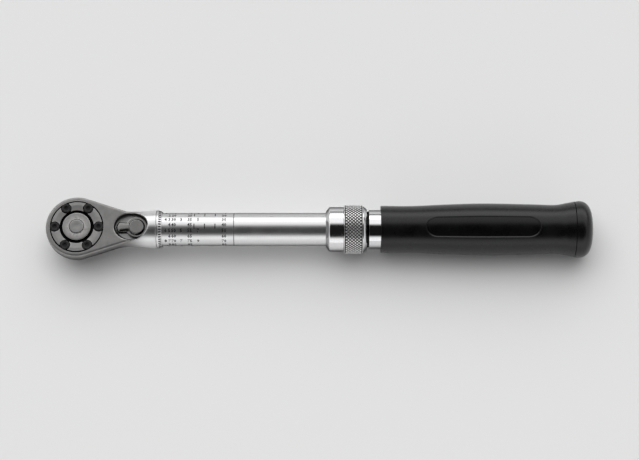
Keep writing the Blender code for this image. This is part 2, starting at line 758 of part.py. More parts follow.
def make_cover_screw():
    """A socket screw with its head's underside at the origin."""
    thread = circle(SCREW_THREAD_RADIUS, SMALL_SIDES)
    rim = circle(SCREW_HEAD_RADIUS, SMALL_SIDES)
    crown = circle(SCREW_HEAD_RADIUS - EDGE, SMALL_SIDES)
    socket = hexagon(SCREW_SOCKET, SMALL_SIDES)
    top = CUTOUT_DEPTH
    return lofted(
        "cover_screw",
        [
            level(thread, -SCREW_LENGTH), level(thread, 0), level(rim, 0), level(rim, top - EDGE),
            level(crown, top), level(socket, top), level(socket, top - SCREW_SOCKET_DEPTH),
        ],
    )


def make_hub_seal():
    low = GEAR_TOP + SEAT_GAP
    high = HEAD_HALF - SEAL_SUNK
    return turned("hub_seal", tube_outline(low, high, HUB_RADIUS + SLIP, COVER_BORE - SLIP), axis="Z")


def make_graduated_ring():
    start = SOCKET_REACH + SEAT_GAP
    end = SOCKET_REACH + RING_WIDTH
    return turned(
        "graduated_ring",
        [
            (start, SOCKET_BORE), (start, SOCKET_RADIUS), (start + RING_WIDTH / 4, SOCKET_RADIUS),
            (end, SOCKET_BORE + RING_LIP), (end, SOCKET_BORE),
        ],
    )


def build_head(bench):
    bench.fit(make_ratchet_head(), "head", "blasted_steel")
    bench.fit(make_cover_plate(), "head", "blasted_steel")
    seats = [(x, y, SCREW_SEAT) for x, y in screw_spots()]
    bench.fit_copies(make_cover_screw(), "head", "black_oxide", seats)
    bench.fit(make_hub_seal(), "head", "black_rubber")
    bench.fit(make_graduated_ring(), "head", "satin_chrome")
    foot = (PAWL_REACH, 0, -HEAD_HALF + SEAT_GAP)
    pin = rod("pawl_pin", foot, (PAWL_REACH, 0, PAWL_ROOF + PAWL_PIN_SEAT), PAWL_PIN_RADIUS)
    bench.fit(pin, "head", "bright_steel")


# Drive

def make_drive_gear():
    gear = prism("drive_gear", gear_outline(), CAVITY_FLOOR + SEAT_GAP, GEAR_TOP)
    hub = turned(
        "hub",
        [
            (SQUARE_TOP, 0), (SQUARE_TOP, JOURNAL_RADIUS - EDGE), (SQUARE_TOP + EDGE, JOURNAL_RADIUS),
            (0, JOURNAL_RADIUS), (0, HUB_RADIUS), (HUB_TOP - EDGE, HUB_RADIUS), (HUB_TOP, HUB_RADIUS - EDGE),
            (HUB_TOP, 0),
        ],
        axis="Z",
    )
    end = -AXIS_HEIGHT
    square = lofted(
        "square",
        [
            level(square_outline(SQUARE_END_CHAMFER), end),
            level(square_outline(0), end + SQUARE_END_CHAMFER),
            level(square_outline(0), CAVITY_FLOOR),
        ],
    )
    button_floor = (0, 0, BUTTON_FLOOR)
    button_room = rod("button_room", button_floor, (0, 0, HEAD_THICKNESS), BUTTON_RADIUS + SLIP, MIDDLE_SIDES)
    stem_end = BALL_Z - BUTTON_TRAVEL - STEM_FOOT_RADIUS - SLIP
    stem_room = rod("stem_room", (0, 0, stem_end), (0, 0, BUTTON_FLOOR + CUT_PAST), STEM_RADIUS + SLIP)
    ball_room = rod("ball_room", (0, -STEM_RADIUS / 2, BALL_Z), (0, -SQUARE, BALL_Z), BALL_RADIUS + PRESS)
    join(gear, hub, square)
    return cut(gear, button_room, stem_room, ball_room)


def make_release_button():
    foot = BALL_Z - STEM_FOOT_RADIUS
    waist = BALL_Z + BUTTON_TRAVEL
    return turned(
        "release_button",
        [
            (foot, 0), (foot, STEM_FOOT_RADIUS), (BALL_Z, STEM_FOOT_RADIUS), (waist, STEM_WAIST_RADIUS),
            (waist + BALL_RADIUS, STEM_RADIUS), (BUTTON_UNDER, STEM_RADIUS), (BUTTON_UNDER, BUTTON_RADIUS),
            (HUB_TOP - EDGE, BUTTON_RADIUS), (HUB_TOP, BUTTON_RADIUS - EDGE), (HUB_TOP, BUTTON_RADIUS / 2),
            (HUB_TOP - BUTTON_DISH, 0),
        ],
        axis="Z",
        sides=MIDDLE_SIDES,
    )


def build_drive(bench):
    bench.fit(make_drive_gear(), "drive", "blasted_steel")
    bench.fit(make_release_button(), "release", "blasted_steel")
    spring_radius = (STEM_RADIUS + BUTTON_RADIUS) / 2
    spring = coil(
        "button_spring", BUTTON_FLOOR + SEAT_GAP, BUTTON_UNDER - SEAT_GAP, spring_radius, BUTTON_SPRING_WIRE,
        BUTTON_SPRING_TURNS, "Z",
    )
    bench.fit(spring, "drive", "spring_steel")
    bench.fit(sphere("drive_ball", BALL_RADIUS, (0, -BALL_OUT, BALL_Z)), "ball", "bright_steel")


# Reversing gear

def make_lever():
    boss_low = POCKET_FLOOR + SEAT_GAP
    boss_high = boss_low + LEVER_BOSS_HEIGHT
    top = boss_high + LEVER_TOP_RISE
    lever = turned(
        "reversing_lever",
        [
            (-LEVER_SHAFT_END, 0), (-LEVER_SHAFT_END, LEVER_SHAFT_RADIUS), (boss_low, LEVER_SHAFT_RADIUS),
            (boss_low, LEVER_BOSS_RADIUS), (boss_high - EDGE, LEVER_BOSS_RADIUS),
            (boss_high, LEVER_BOSS_RADIUS - EDGE), (top - EDGE, LEVER_TOP_RADIUS + EDGE),
            (top, LEVER_TOP_RADIUS), (top, 0),
        ],
        axis="Z",
        reach=LEVER_REACH,
        sides=MIDDLE_SIDES,
    )
    tip = LEVER_REACH - LEVER_ARM_LENGTH + LEVER_ARM_TIP

    def arm_plan(inset):
        half = LEVER_ARM_TIP - inset
        front = arc(tip, 0, half, math.pi / 2, 3 * math.pi / 2, HALF_ROUND)
        return front + [(LEVER_REACH, -half), (LEVER_REACH, half)]

    layers = (
        (boss_low + LEVER_ARM_LIFT, 0, 0), (boss_high, 0, LEVER_ARM_SLOPE),
        (top - EDGE, LEVER_ARM_DRAFT, LEVER_ARM_SLOPE),
    )
    arm = lofted(
        "lever_arm",
        [[(x, y, z + slope * (x - LEVER_REACH)) for x, y in arm_plan(inset)] for z, inset, slope in layers],
    )
    thread_end = -LEVER_SHAFT_END + LEVER_THREAD_LENGTH + 2 * SEAT_GAP
    thread = rod(
        "lever_thread", (LEVER_REACH, 0, -LEVER_SHAFT_END - CUT_PAST), (LEVER_REACH, 0, thread_end),
        LEVER_THREAD_RADIUS + PRESS,
    )
    pin_room = rod(
        "plunger_pin_room", (LEVER_REACH - LEVER_SHAFT_RADIUS * 2, 0, PAWL_MIDDLE),
        (LEVER_REACH + LEVER_SHAFT_RADIUS - LEVER_SHAFT_WALL, 0, PAWL_MIDDLE), PLUNGER_PIN_RADIUS + SLIP,
    )
    return cut(join(lever, arm), thread, pin_room)


def make_lever_screw():
    under = -LEVER_SHAFT_END - 2 * SEAT_GAP
    low = under - LEVER_SCREW_HEAD
    dish = low + LEVER_SCREW_DISH
    thread_end = -LEVER_SHAFT_END + LEVER_THREAD_LENGTH
    return turned(
        "lever_screw",
        [
            (dish, 0), (dish, LEVER_SCREW_DISH_FLOOR), (low, LEVER_SCREW_DISH_MOUTH),
            (low, LEVER_SCREW_RADIUS - EDGE), (low + EDGE, LEVER_SCREW_RADIUS), (under, LEVER_SCREW_RADIUS),
            (under, LEVER_THREAD_RADIUS), (thread_end, LEVER_THREAD_RADIUS), (thread_end, 0),
        ],
        axis="Z",
        reach=LEVER_REACH,
        sides=MIDDLE_SIDES,
    )


def make_pawl():
    """A double pawl: the gear itself cuts the teeth of each wing, at each end of the rocker's swing."""
    front = GEAR_TIP_RADIUS / 2
    wing = (PAWL_REACH + GEAR_TIP_RADIUS) / 2
    back = LEVER_REACH - PLUNGER_PIN_REACH - PAWL_GAP
    outline = [
        (front, -PAWL_HALF_WIDTH), (wing, -PAWL_HALF_WIDTH), (back, -PAWL_BACK_HALF_WIDTH),
        (back - PAWL_DIMPLE, 0),
        (back, PAWL_BACK_HALF_WIDTH), (wing, PAWL_HALF_WIDTH), (front, PAWL_HALF_WIDTH),
    ]
    pawl = prism("pawl", outline, PAWL_LOW, PAWL_HIGH)
    low = PAWL_LOW - CUT_PAST
    high = PAWL_HIGH + CUT_PAST
    clear = rod("gear_clearance", (0, 0, low), (0, 0, high), GEAR_TIP_RADIUS + PAWL_GAP, FINE_SIDES)
    teeth = gear_outline(PAWL_TOOTH_GAP)
    left = prism("gear_at_left", turned_about(teeth, PAWL_REACH, -PAWL_SWING), low, high)
    right = prism("gear_at_right", turned_about(teeth, PAWL_REACH, PAWL_SWING), low, high)
    hole = rod("pawl_bore", (PAWL_REACH, 0, low), (PAWL_REACH, 0, high), PAWL_PIN_RADIUS + SLIP)
    return cut(pawl, clear, left, right, hole)


def build_reversing_gear(bench):
    bench.fit(make_lever(), "lever", "bright_steel")
    bench.fit(make_lever_screw(), "lever", "black_oxide")
    bench.fit(make_pawl(), "pawl_rocker", "bright_steel")
    tip = LEVER_REACH - PLUNGER_PIN_REACH
    tail = tip + PLUNGER_PIN_LENGTH
    pin = turned(
        "pawl_plunger",
        [
            (tip, 0), (tip, PLUNGER_PIN_RADIUS - PLUNGER_PIN_NOSE),
            (tip + PLUNGER_PIN_NOSE, PLUNGER_PIN_RADIUS), (tail, PLUNGER_PIN_RADIUS), (tail, 0),
        ],
        sides=SMALL_SIDES,
    )
    pin.data.transform(Matrix.Translation((0, 0, PAWL_MIDDLE * MM)))
    bench.fit(pin, "lever", "bright_steel")
    spring_end = LEVER_REACH + LEVER_SHAFT_RADIUS - LEVER_SHAFT_WALL - SEAT_GAP
    spring_radius = PLUNGER_PIN_RADIUS - PAWL_SPRING_WIRE - PRESS
    spring = coil(
        "pawl_spring", tail + SEAT_GAP, spring_end, spring_radius, PAWL_SPRING_WIRE, PAWL_SPRING_TURNS,
    )
    spring.data.transform(Matrix.Translation((0, 0, PAWL_MIDDLE * MM)))
    bench.fit(spring, "lever", "spring_steel")


# Tube and click mechanism

def make_tube():
    tube = turned(
        "tube",
        [
            (TUBE_START, TUBE_BORE), (TUBE_START, TUBE_RADIUS - EDGE), (TUBE_START + EDGE, TUBE_RADIUS),
            (TUBE_END - EDGE, TUBE_RADIUS), (TUBE_END, TUBE_RADIUS - EDGE), (TUBE_END, TUBE_BORE),
        ],
    )
    pin_hole = rod(
        "pivot_seat", (PIVOT_REACH, 0, -2 * TUBE_RADIUS), (PIVOT_REACH, 0, TUBE_BORE + PIVOT_PIN_SEAT),
        PIVOT_PIN_RADIUS + PRESS,
    )
    dowel_hole = rod(
        "dowel_seat", (DOWEL_REACH, 0, -2 * TUBE_RADIUS), (DOWEL_REACH, 0, -TUBE_BORE / 2),
        DOWEL_RADIUS + PRESS,
    )
    return cut(tube, pin_hole, dowel_hole)


def make_tilt_block():
    half = BLOCK_WIDTH / 2
    flat = half - BLOCK_CHAMFER
    outline = [
        (BLOCK_START, -flat), (BLOCK_START + BLOCK_CHAMFER, -half), (BLOCK_END - BLOCK_CHAMFER, -half),
        (BLOCK_END, -flat), (BLOCK_END, flat), (BLOCK_END - BLOCK_CHAMFER, half),
        (BLOCK_START + BLOCK_CHAMFER, half), (BLOCK_START, flat),
    ]
    return prism("tilt_block", outline, -BLOCK_HEIGHT / 2, BLOCK_HEIGHT / 2)


def make_plunger():
    body = TUBE_BORE - SLIP
    shoulder = PLUNGER_START + PLUNGER_LENGTH
    return turned(
        "plunger",
        [
            (PLUNGER_START, 0), (PLUNGER_START, body - EDGE), (PLUNGER_START + EDGE, body),
            (shoulder, body), (shoulder, SPIGOT_RADIUS),
            (shoulder + SPIGOT_LENGTH, SPIGOT_RADIUS), (shoulder + SPIGOT_LENGTH, 0),
        ],
        sides=MIDDLE_SIDES,
    )


def make_spring_seat():
    pocket = SPRING_SEAT_END - THRUST_POCKET
    body = TUBE_BORE - SLIP
    tip = SPRING_SEAT_START - SPIGOT_LENGTH
    return turned(
        "spring_seat",
        [
            (tip, 0), (tip, SPIGOT_RADIUS), (SPRING_SEAT_START, SPIGOT_RADIUS), (SPRING_SEAT_START, body),
            (SPRING_SEAT_END, body), (SPRING_SEAT_END, THRUST_BALL_RADIUS + SLIP),
            (pocket, THRUST_BALL_RADIUS + SLIP), (pocket, 0),
        ],
        sides=MIDDLE_SIDES,
    )


def make_adjusting_nut():
    outline = tube_outline(NUT_START, NUT_END, ADJUSTER_RADIUS + SLIP, TUBE_BORE - SLIP)
    nut = turned("adjusting_nut", outline, sides=MIDDLE_SIDES)
    top = -TUBE_RADIUS + SEAT_GAP + DOWEL_LENGTH + SLIP
    hole = rod("nut_hole", (DOWEL_REACH, 0, -2 * TUBE_RADIUS), (DOWEL_REACH, 0, top), DOWEL_RADIUS + PRESS)
    return cut(nut, hole)


def build_tube(bench):
    bench.fit(make_tube(), "tube", "satin_chrome")
    pin = rod(
        "pivot_pin", (PIVOT_REACH, 0, -TUBE_RADIUS + 2 * SEAT_GAP),
        (PIVOT_REACH, 0, TUBE_BORE + PIVOT_PIN_SEAT - SEAT_GAP), PIVOT_PIN_RADIUS,
    )
    bench.fit(pin, "tube", "bright_steel")
    bench.fit(make_tilt_block(), "block", "bright_steel")
    bench.fit(make_plunger(), "spring_plunger", "bright_steel")
    spring = coil("main_spring", SPRING_START, SPRING_END, SPRING_RADIUS, SPRING_WIRE, SPRING_TURNS)
    bench.fit(spring, "tube", "spring_steel")
    bench.fit(make_spring_seat(), "seat", "bright_steel")
    bench.fit(sphere("thrust_ball", THRUST_BALL_RADIUS, (THRUST_BALL_REACH, 0, 0)), "seat", "bright_steel")
    bench.fit(make_adjusting_nut(), "tube", "bronze")
    foot = -TUBE_RADIUS + SEAT_GAP
    dowel = rod("nut_dowel", (DOWEL_REACH, 0, foot), (DOWEL_REACH, 0, foot + DOWEL_LENGTH), DOWEL_RADIUS)
    bench.fit(dowel, "tube", "bright_steel")


# Handle

def handle_pin_hole(name):
    reach = 2 * SLEEVE_RADIUS
    return rod(
        name, (HANDLE_PIN_REACH, 0, -reach), (HANDLE_PIN_REACH, 0, reach), HANDLE_PIN_RADIUS + PRESS,
    )


def lock_ball_spots():
    angles = [math.pi / 2 + 2 * math.pi * i / LOCK_BALLS for i in range(LOCK_BALLS)]
    return [(LOCK_BALL_REACH, LOCK_BALL_OUT * math.cos(a), LOCK_BALL_OUT * math.sin(a)) for a in angles]


def make_handle_sleeve():
    groove = HANDLE_REACH + GROOVE_SETBACK
    groove_floor = SLEEVE_RADIUS - GROOVE_DEPTH
    sleeve = turned(
        "handle_sleeve",
        [
            (SLEEVE_START, SLEEVE_BORE), (SLEEVE_START, SLEEVE_RADIUS),
            (RETAINER_START - SLIP, SLEEVE_RADIUS), (RETAINER_START - SLIP, RETAINER_FLOOR),
            (RETAINER_END + SLIP, RETAINER_FLOOR), (RETAINER_END + SLIP, SLEEVE_RADIUS),
            (groove, SLEEVE_RADIUS), (groove, groove_floor),
            (groove + GROOVE_WIDTH, groove_floor), (groove + GROOVE_WIDTH, SLEEVE_RADIUS),
            (SLEEVE_END, SLEEVE_RADIUS), (SLEEVE_END, SLEEVE_BORE),
        ],
    )
    for number, (x, y, z) in enumerate(lock_ball_spots(), start=1):
        hole = rod(f"lock_ball_hole_{number}", (x, y / 2, z / 2), (x, 2 * y, 2 * z), LOCK_BALL_RADIUS + SLIP)
        cut(sleeve, hole)
    return cut(sleeve, handle_pin_hole("sleeve_pin_hole"))


def make_thimble_collar():
    shoulder = HANDLE_REACH + COLLAR_FRONT
    return turned(
        "thimble_collar",
        [
            (HANDLE_REACH, SLEEVE_BORE), (HANDLE_REACH, SLEEVE_BORE + COLLAR_LIP),
            (HANDLE_REACH + COLLAR_FLARE, COLLAR_RADIUS), (COLLAR_END - EDGE, COLLAR_RADIUS),
            (COLLAR_END, COLLAR_RADIUS - EDGE), (COLLAR_END, SLEEVE_RADIUS + SLIP),
            (shoulder, SLEEVE_RADIUS + SLIP), (shoulder, SLEEVE_BORE),
        ],
    )


def make_lock_ring():
    """The ring's knurl is a net of raised and sunk points, turned half a pitch from row to row."""
    def rim(x, radius):
        return [(x, y, z) for y, z in circle(radius, KNURL_COLUMNS)]

    first = LOCK_START + LOCK_RIM + LOCK_RIM_GROOVE
    last = LOCK_END - LOCK_RIM - LOCK_RIM_GROOVE

    def knurl_row(row):
        x = first + (last - first) * row / KNURL_ROWS
        edge = row in (0, KNURL_ROWS)
        points = []
        for i, (y, z) in enumerate(circle(1, KNURL_COLUMNS)):
            radius = LOCK_RADIUS - (KNURL_DEPTH if edge or (i + row) % 2 else 0)
            points.append((x, radius * y, radius * z))
        return points

    sections = [
        rim(LOCK_START, LOCK_RADIUS - EDGE), rim(LOCK_START + EDGE, LOCK_RADIUS),
        rim(LOCK_START + LOCK_RIM, LOCK_RADIUS),
        *[knurl_row(row) for row in range(KNURL_ROWS + 1)],
        rim(LOCK_END - LOCK_RIM, LOCK_RADIUS),
        rim(LOCK_END - EDGE, LOCK_RADIUS), rim(LOCK_END, LOCK_RADIUS - EDGE),
    ]
    ring = lofted("lock_ring", sections)
    front = LOCK_START - CUT_PAST
    narrow = LOCK_BALL_REACH - LOCK_BALL_RADIUS - SLIP
    back = LOCK_END + CUT_PAST
    room = turned(
        "lock_room",
        [
            (front, 0), (front, LOCK_BORE + LOCK_RELEASE), (narrow - LOCK_RAMP, LOCK_BORE + LOCK_RELEASE),
            (narrow, LOCK_BORE), (LOCK_SHOULDER, LOCK_BORE), (LOCK_SHOULDER, LOCK_CAVITY),
            (back, LOCK_CAVITY), (back, 0),
        ],
    )
    return cut(ring, room)


def make_lock_ring_cap():
    start = LOCK_END + SEAT_GAP
    end = start + LOCK_CONE_LENGTH
    rim = LOCK_RADIUS - EDGE
    tip = LOCK_BORE + LOCK_CONE_TIP
    return turned(
        "lock_ring_cap",
        [
            (start, LOCK_BORE), (start, rim), (start + EDGE, rim), (start + LOCK_CONE_CROWN, (rim + tip) / 2),
            (end, tip), (end, LOCK_BORE),
        ],
    )


def make_spring_retainer():
    ring = turned(
        "spring_retainer",
        tube_outline(RETAINER_START, RETAINER_END, RETAINER_FLOOR + PRESS, SLEEVE_RADIUS + RETAINER_HEIGHT),
    )
    front = RETAINER_START - CUT_PAST
    back = RETAINER_END + CUT_PAST
    half = RETAINER_SPLIT / 2
    corners = [(front, -half), (back, -half), (back, half), (front, half)]
    gap = prism("retainer_gap", corners, -2 * SLEEVE_RADIUS, 0)
    return cut(ring, gap)


def build_lock(bench):
    bench.fit(make_lock_ring(), "lock", "knurled_nickel")
    bench.fit(make_lock_ring_cap(), "lock", "polished_chrome")
    bench.fit(make_spring_retainer(), "handle", "spring_steel")
    spring = coil(
        "lock_spring", LOCK_SHOULDER + SEAT_GAP, RETAINER_START - SEAT_GAP,
        SLEEVE_RADIUS + LOCK_SPRING_ROOM / 2, LOCK_SPRING_WIRE, LOCK_SPRING_TURNS, per_turn=LOOP_POINTS,
    )
    bench.fit(spring, "handle", "spring_steel")
    ball = sphere("lock_ball", LOCK_BALL_RADIUS, (0, 0, 0))
    bench.fit_copies(ball, "handle", "bright_steel", lock_ball_spots())


def grip_curve(sunk=0.0):
    walls = [(GRIP_START + share * GRIP_LENGTH, SLEEVE_RADIUS + wall - sunk) for share, wall in GRIP_WALLS]
    return smooth(walls)


def panel_prism(name, inset, low, high):
    outline = stadium(PANEL_SETBACK + GRIP_START + inset, PANEL_LENGTH - 2 * inset, PANEL_WIDTH - 2 * inset)
    block = prism(name, outline, low, high)
    block.data.transform(Matrix.Rotation(PANEL_TURN, 4, "X"))
    return block


def make_grip():
    curve = grip_curve()
    bore = SLEEVE_RADIUS + SLIP
    grip = turned("grip", [(GRIP_START, bore), *curve, (GRIP_END, bore)])
    floor = grip_curve(PANEL_DEPTH)
    core = turned("panel_floor", [(GRIP_START, 0), *floor, (GRIP_END, 0)])
    recess = cut(panel_prism("panel_recess", 0, SLEEVE_RADIUS / 2, 2 * SLEEVE_RADIUS), core)
    return cut(grip, recess)


def make_grip_panel():
    top = PANEL_DEPTH - SEAT_GAP - PANEL_THICKNESS
    outer = grip_curve(top)
    inner = grip_curve(top + PANEL_THICKNESS)
    shell = turned("panel_shell", outer + list(reversed(inner)))
    panel = panel_prism("grip_panel", SLIP, SLEEVE_RADIUS / 2, 2 * SLEEVE_RADIUS)
    return boolean(panel, "INTERSECT", shell)


def make_end_cap():
    walls = [(CAP_START + share * END_CAP_LENGTH, SLEEVE_RADIUS + wall) for share, wall in END_CAP_WALLS]
    spigot = SLEEVE_BORE - SLIP
    dome = smooth(walls)
    end = dome[-1][0]
    stem = [(SPIGOT_START, 0), (SPIGOT_START, spigot), (CAP_START, spigot)]
    return turned("end_cap", stem + dome[:-1] + [(end, 0)])


def build_handle(bench):
    bench.fit(make_handle_sleeve(), "handle", "polished_chrome")
    bench.fit(make_thimble_collar(), "handle", "polished_chrome")
    screw = turned(
        "adjusting_screw",
        [
            (ADJUSTER_START, 0), (ADJUSTER_START, ADJUSTER_RADIUS - ADJUSTER_LEAD),
            (ADJUSTER_START + ADJUSTER_LEAD, ADJUSTER_RADIUS), (PLUG_END, ADJUSTER_RADIUS), (PLUG_END, 0),
        ],
        sides=MIDDLE_SIDES,
    )
    bench.fit(cut(screw, handle_pin_hole("screw_pin_hole")), "handle", "bright_steel")
    plug_outline = tube_outline(PLUG_START, PLUG_END, ADJUSTER_RADIUS + SLIP, SLEEVE_BORE - SLIP)
    plug = turned("handle_plug", plug_outline, sides=MIDDLE_SIDES)
    bench.fit(cut(plug, handle_pin_hole("plug_pin_hole")), "handle", "bright_steel")
    reach = SLEEVE_RADIUS - SEAT_GAP
    pin = rod("handle_pin", (HANDLE_PIN_REACH, 0, -reach), (HANDLE_PIN_REACH, 0, reach), HANDLE_PIN_RADIUS)
    bench.fit(pin, "handle", "bright_steel")
    bench.fit(make_grip(), "handle", "black_rubber")
    bench.fit(make_grip_panel(), "handle", "panel_plastic")
    bench.fit(make_end_cap(), "handle", "black_rubber")


def main():
    clear_scene()
    bench = Bench()
    build_head(bench)
    build_drive(bench)
    build_reversing_gear(bench)
    build_tube(bench)
    build_handle(bench)
    build_lock(bench)


if __name__ == "__main__":
    main()
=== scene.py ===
"""Looks of a click-type torque wrench: fine meshes, finishes, studio and camera.

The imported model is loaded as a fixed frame, and each class makes the fine meshes of one
sub-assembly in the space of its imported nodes. Sizes are in millimetres: X runs along the wrench
from the drive to the end of the grip, and Z is the height over the floor.
"""

from __future__ import annotations

import logging
import math
from dataclasses import dataclass
from enum import Enum
from functools import cached_property
from typing import Iterable, Sequence, Union

import bmesh
import bpy
import numpy as np
from mathutils import Matrix, Vector


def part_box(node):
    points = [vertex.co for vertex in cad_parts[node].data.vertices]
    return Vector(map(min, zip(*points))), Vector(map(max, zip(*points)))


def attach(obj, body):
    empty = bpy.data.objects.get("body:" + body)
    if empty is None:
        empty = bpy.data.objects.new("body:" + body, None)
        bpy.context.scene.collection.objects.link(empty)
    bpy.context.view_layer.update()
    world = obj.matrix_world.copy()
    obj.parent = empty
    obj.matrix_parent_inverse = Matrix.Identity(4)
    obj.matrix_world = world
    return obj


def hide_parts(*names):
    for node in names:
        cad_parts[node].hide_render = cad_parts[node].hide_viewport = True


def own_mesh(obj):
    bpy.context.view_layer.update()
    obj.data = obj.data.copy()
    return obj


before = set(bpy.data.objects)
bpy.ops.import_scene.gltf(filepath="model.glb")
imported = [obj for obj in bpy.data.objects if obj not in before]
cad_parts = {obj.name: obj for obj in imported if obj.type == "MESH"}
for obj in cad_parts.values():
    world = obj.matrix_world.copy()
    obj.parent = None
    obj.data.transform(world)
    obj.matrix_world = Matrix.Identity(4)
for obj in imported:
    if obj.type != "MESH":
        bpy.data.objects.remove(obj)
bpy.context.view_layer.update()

LOG = logging.getLogger("torque_wrench")
MM = 0.001
WELD = 0.0005
TINY = 0.000001
ROUND_SIDES = 128
SMALL_SIDES = 64
SHARP = math.radians(34)
FILLET_STEPS = 4
WEAR = "wear"
WHITE = (1.0, 1.0, 1.0, 1.0)

Colour = tuple[float, float, float]
Profile = Sequence[Sequence[float]]
Place = tuple[float, float, float]
Value = Union[float, Colour, Sequence[float], "Wire"]


class Axis(Enum):
    """The line that a piece is turned about."""

    ALONG = "X"
    UP = "Z"


class Carve(Enum):
    """What one solid does to another."""

    CUT = "DIFFERENCE"
    JOIN = "UNION"
    KEEP = "INTERSECT"


class Slot(Enum):
    """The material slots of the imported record."""

    BLASTED_STEEL = "blasted_steel"
    SATIN_CHROME = "satin_chrome"
    POLISHED_CHROME = "polished_chrome"
    KNURLED_NICKEL = "knurled_nickel"
    BLACK_OXIDE = "black_oxide"
    BRIGHT_STEEL = "bright_steel"
    SPRING_STEEL = "spring_steel"
    BRONZE = "bronze"
    BLACK_RUBBER = "black_rubber"
    PANEL_PLASTIC = "panel_plastic"


@dataclass(frozen=True)
class Space:
    """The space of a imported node, in millimetres."""

    low: Vector
    high: Vector

    @classmethod
    def of(cls, node: str) -> Space:
        """The space of the node with this name."""
        low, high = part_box(node)
        return cls(low / MM, high / MM)

    @property
    def middle(self) -> Vector:
        """The centre of the space."""
        return (self.low + self.high) / 2

    @property
    def radius(self) -> float:
        """Half of the width across the wrench."""
        return (self.high.y - self.low.y) / 2


AXIS_HEIGHT = Space.of("tube").middle.z


# Node graphs

class Wire:
    """A node's socket, which takes part in sums as a number does."""

    def __init__(self, graph: Graph, socket: bpy.types.NodeSocket) -> None:
        """Keep the socket, and the graph that gets the nodes of a sum."""
        self.graph = graph
        self.socket = socket

    def maths(self, operation: str, *values: Value) -> Wire:
        """Add a Math node.

        Args:
            operation: what the node works out.
            values: the node's inputs in order, as numbers or wires.

        Returns:
            The result.
        """
        return self.graph.node("ShaderNodeMath", {"operation": operation}, dict(enumerate(values)))

    def __add__(self, other: Value) -> Wire:
        """The sum."""
        return self.maths("ADD", self, other)

    def __sub__(self, other: Value) -> Wire:
        """The difference."""
        return self.maths("SUBTRACT", self, other)

    def __rsub__(self, other: Value) -> Wire:
        """The difference, the other way round."""
        return self.maths("SUBTRACT", other, self)

    def __mul__(self, other: Value) -> Wire:
        """The product."""
        return self.maths("MULTIPLY", self, other)

    def __truediv__(self, other: Value) -> Wire:
        """The quotient."""
        return self.maths("DIVIDE", self, other)

    __radd__ = __add__
    __rmul__ = __mul__

    def root(self) -> Wire:
        """The square root."""
        return self.maths("SQRT", self)

    def output(self, name: str) -> Wire:
        """Another output of the same node."""
        return Wire(self.graph, self.socket.node.outputs[name])

    def ramp(self, low: float, high: float) -> Wire:
        """A smooth step from 0 at the low value to 1 at the high one."""
        inputs = {"Value": self, "From Min": low, "From Max": high}
        return self.graph.node("ShaderNodeMapRange", {"interpolation_type": "SMOOTHSTEP"}, inputs)


class Graph:
    """A node tree that is filled by calls."""

    def __init__(self, tree: bpy.types.NodeTree) -> None:
        """Keep the tree."""
        self.tree = tree

    def node(
        self,
        kind: str,
        settings: dict[str, object] | None = None,
        inputs: dict[str | int, Value] | None = None,
        output: str | int = 0,
    ) -> Wire | None:
        """Add a node.

        Args:
            kind: the node's type.
            settings: its own settings, which are set first.
            inputs: values or wires for its sockets, by name or number.
            output: the output that is wanted.

        Returns:
            That output, or None for a node without outputs.
        """
        made = self.tree.nodes.new(kind)
        for name, value in (settings or {}).items():
            setattr(made, name, value)
        for name, value in (inputs or {}).items():
            self.feed(made.inputs[name], value)
        return Wire(self, made.outputs[output]) if len(made.outputs) else None

    def feed(self, socket: bpy.types.NodeSocket, value: Value) -> None:
        """Set a socket's value, or link it."""
        if isinstance(value, Wire):
            self.tree.links.new(value.socket, socket)
        else:
            socket.default_value = value

    def vector(self, x: Value, y: Value, z: Value) -> Wire:
        """A vector from its three parts."""
        return self.node("ShaderNodeCombineXYZ", inputs={0: x, 1: y, 2: z})


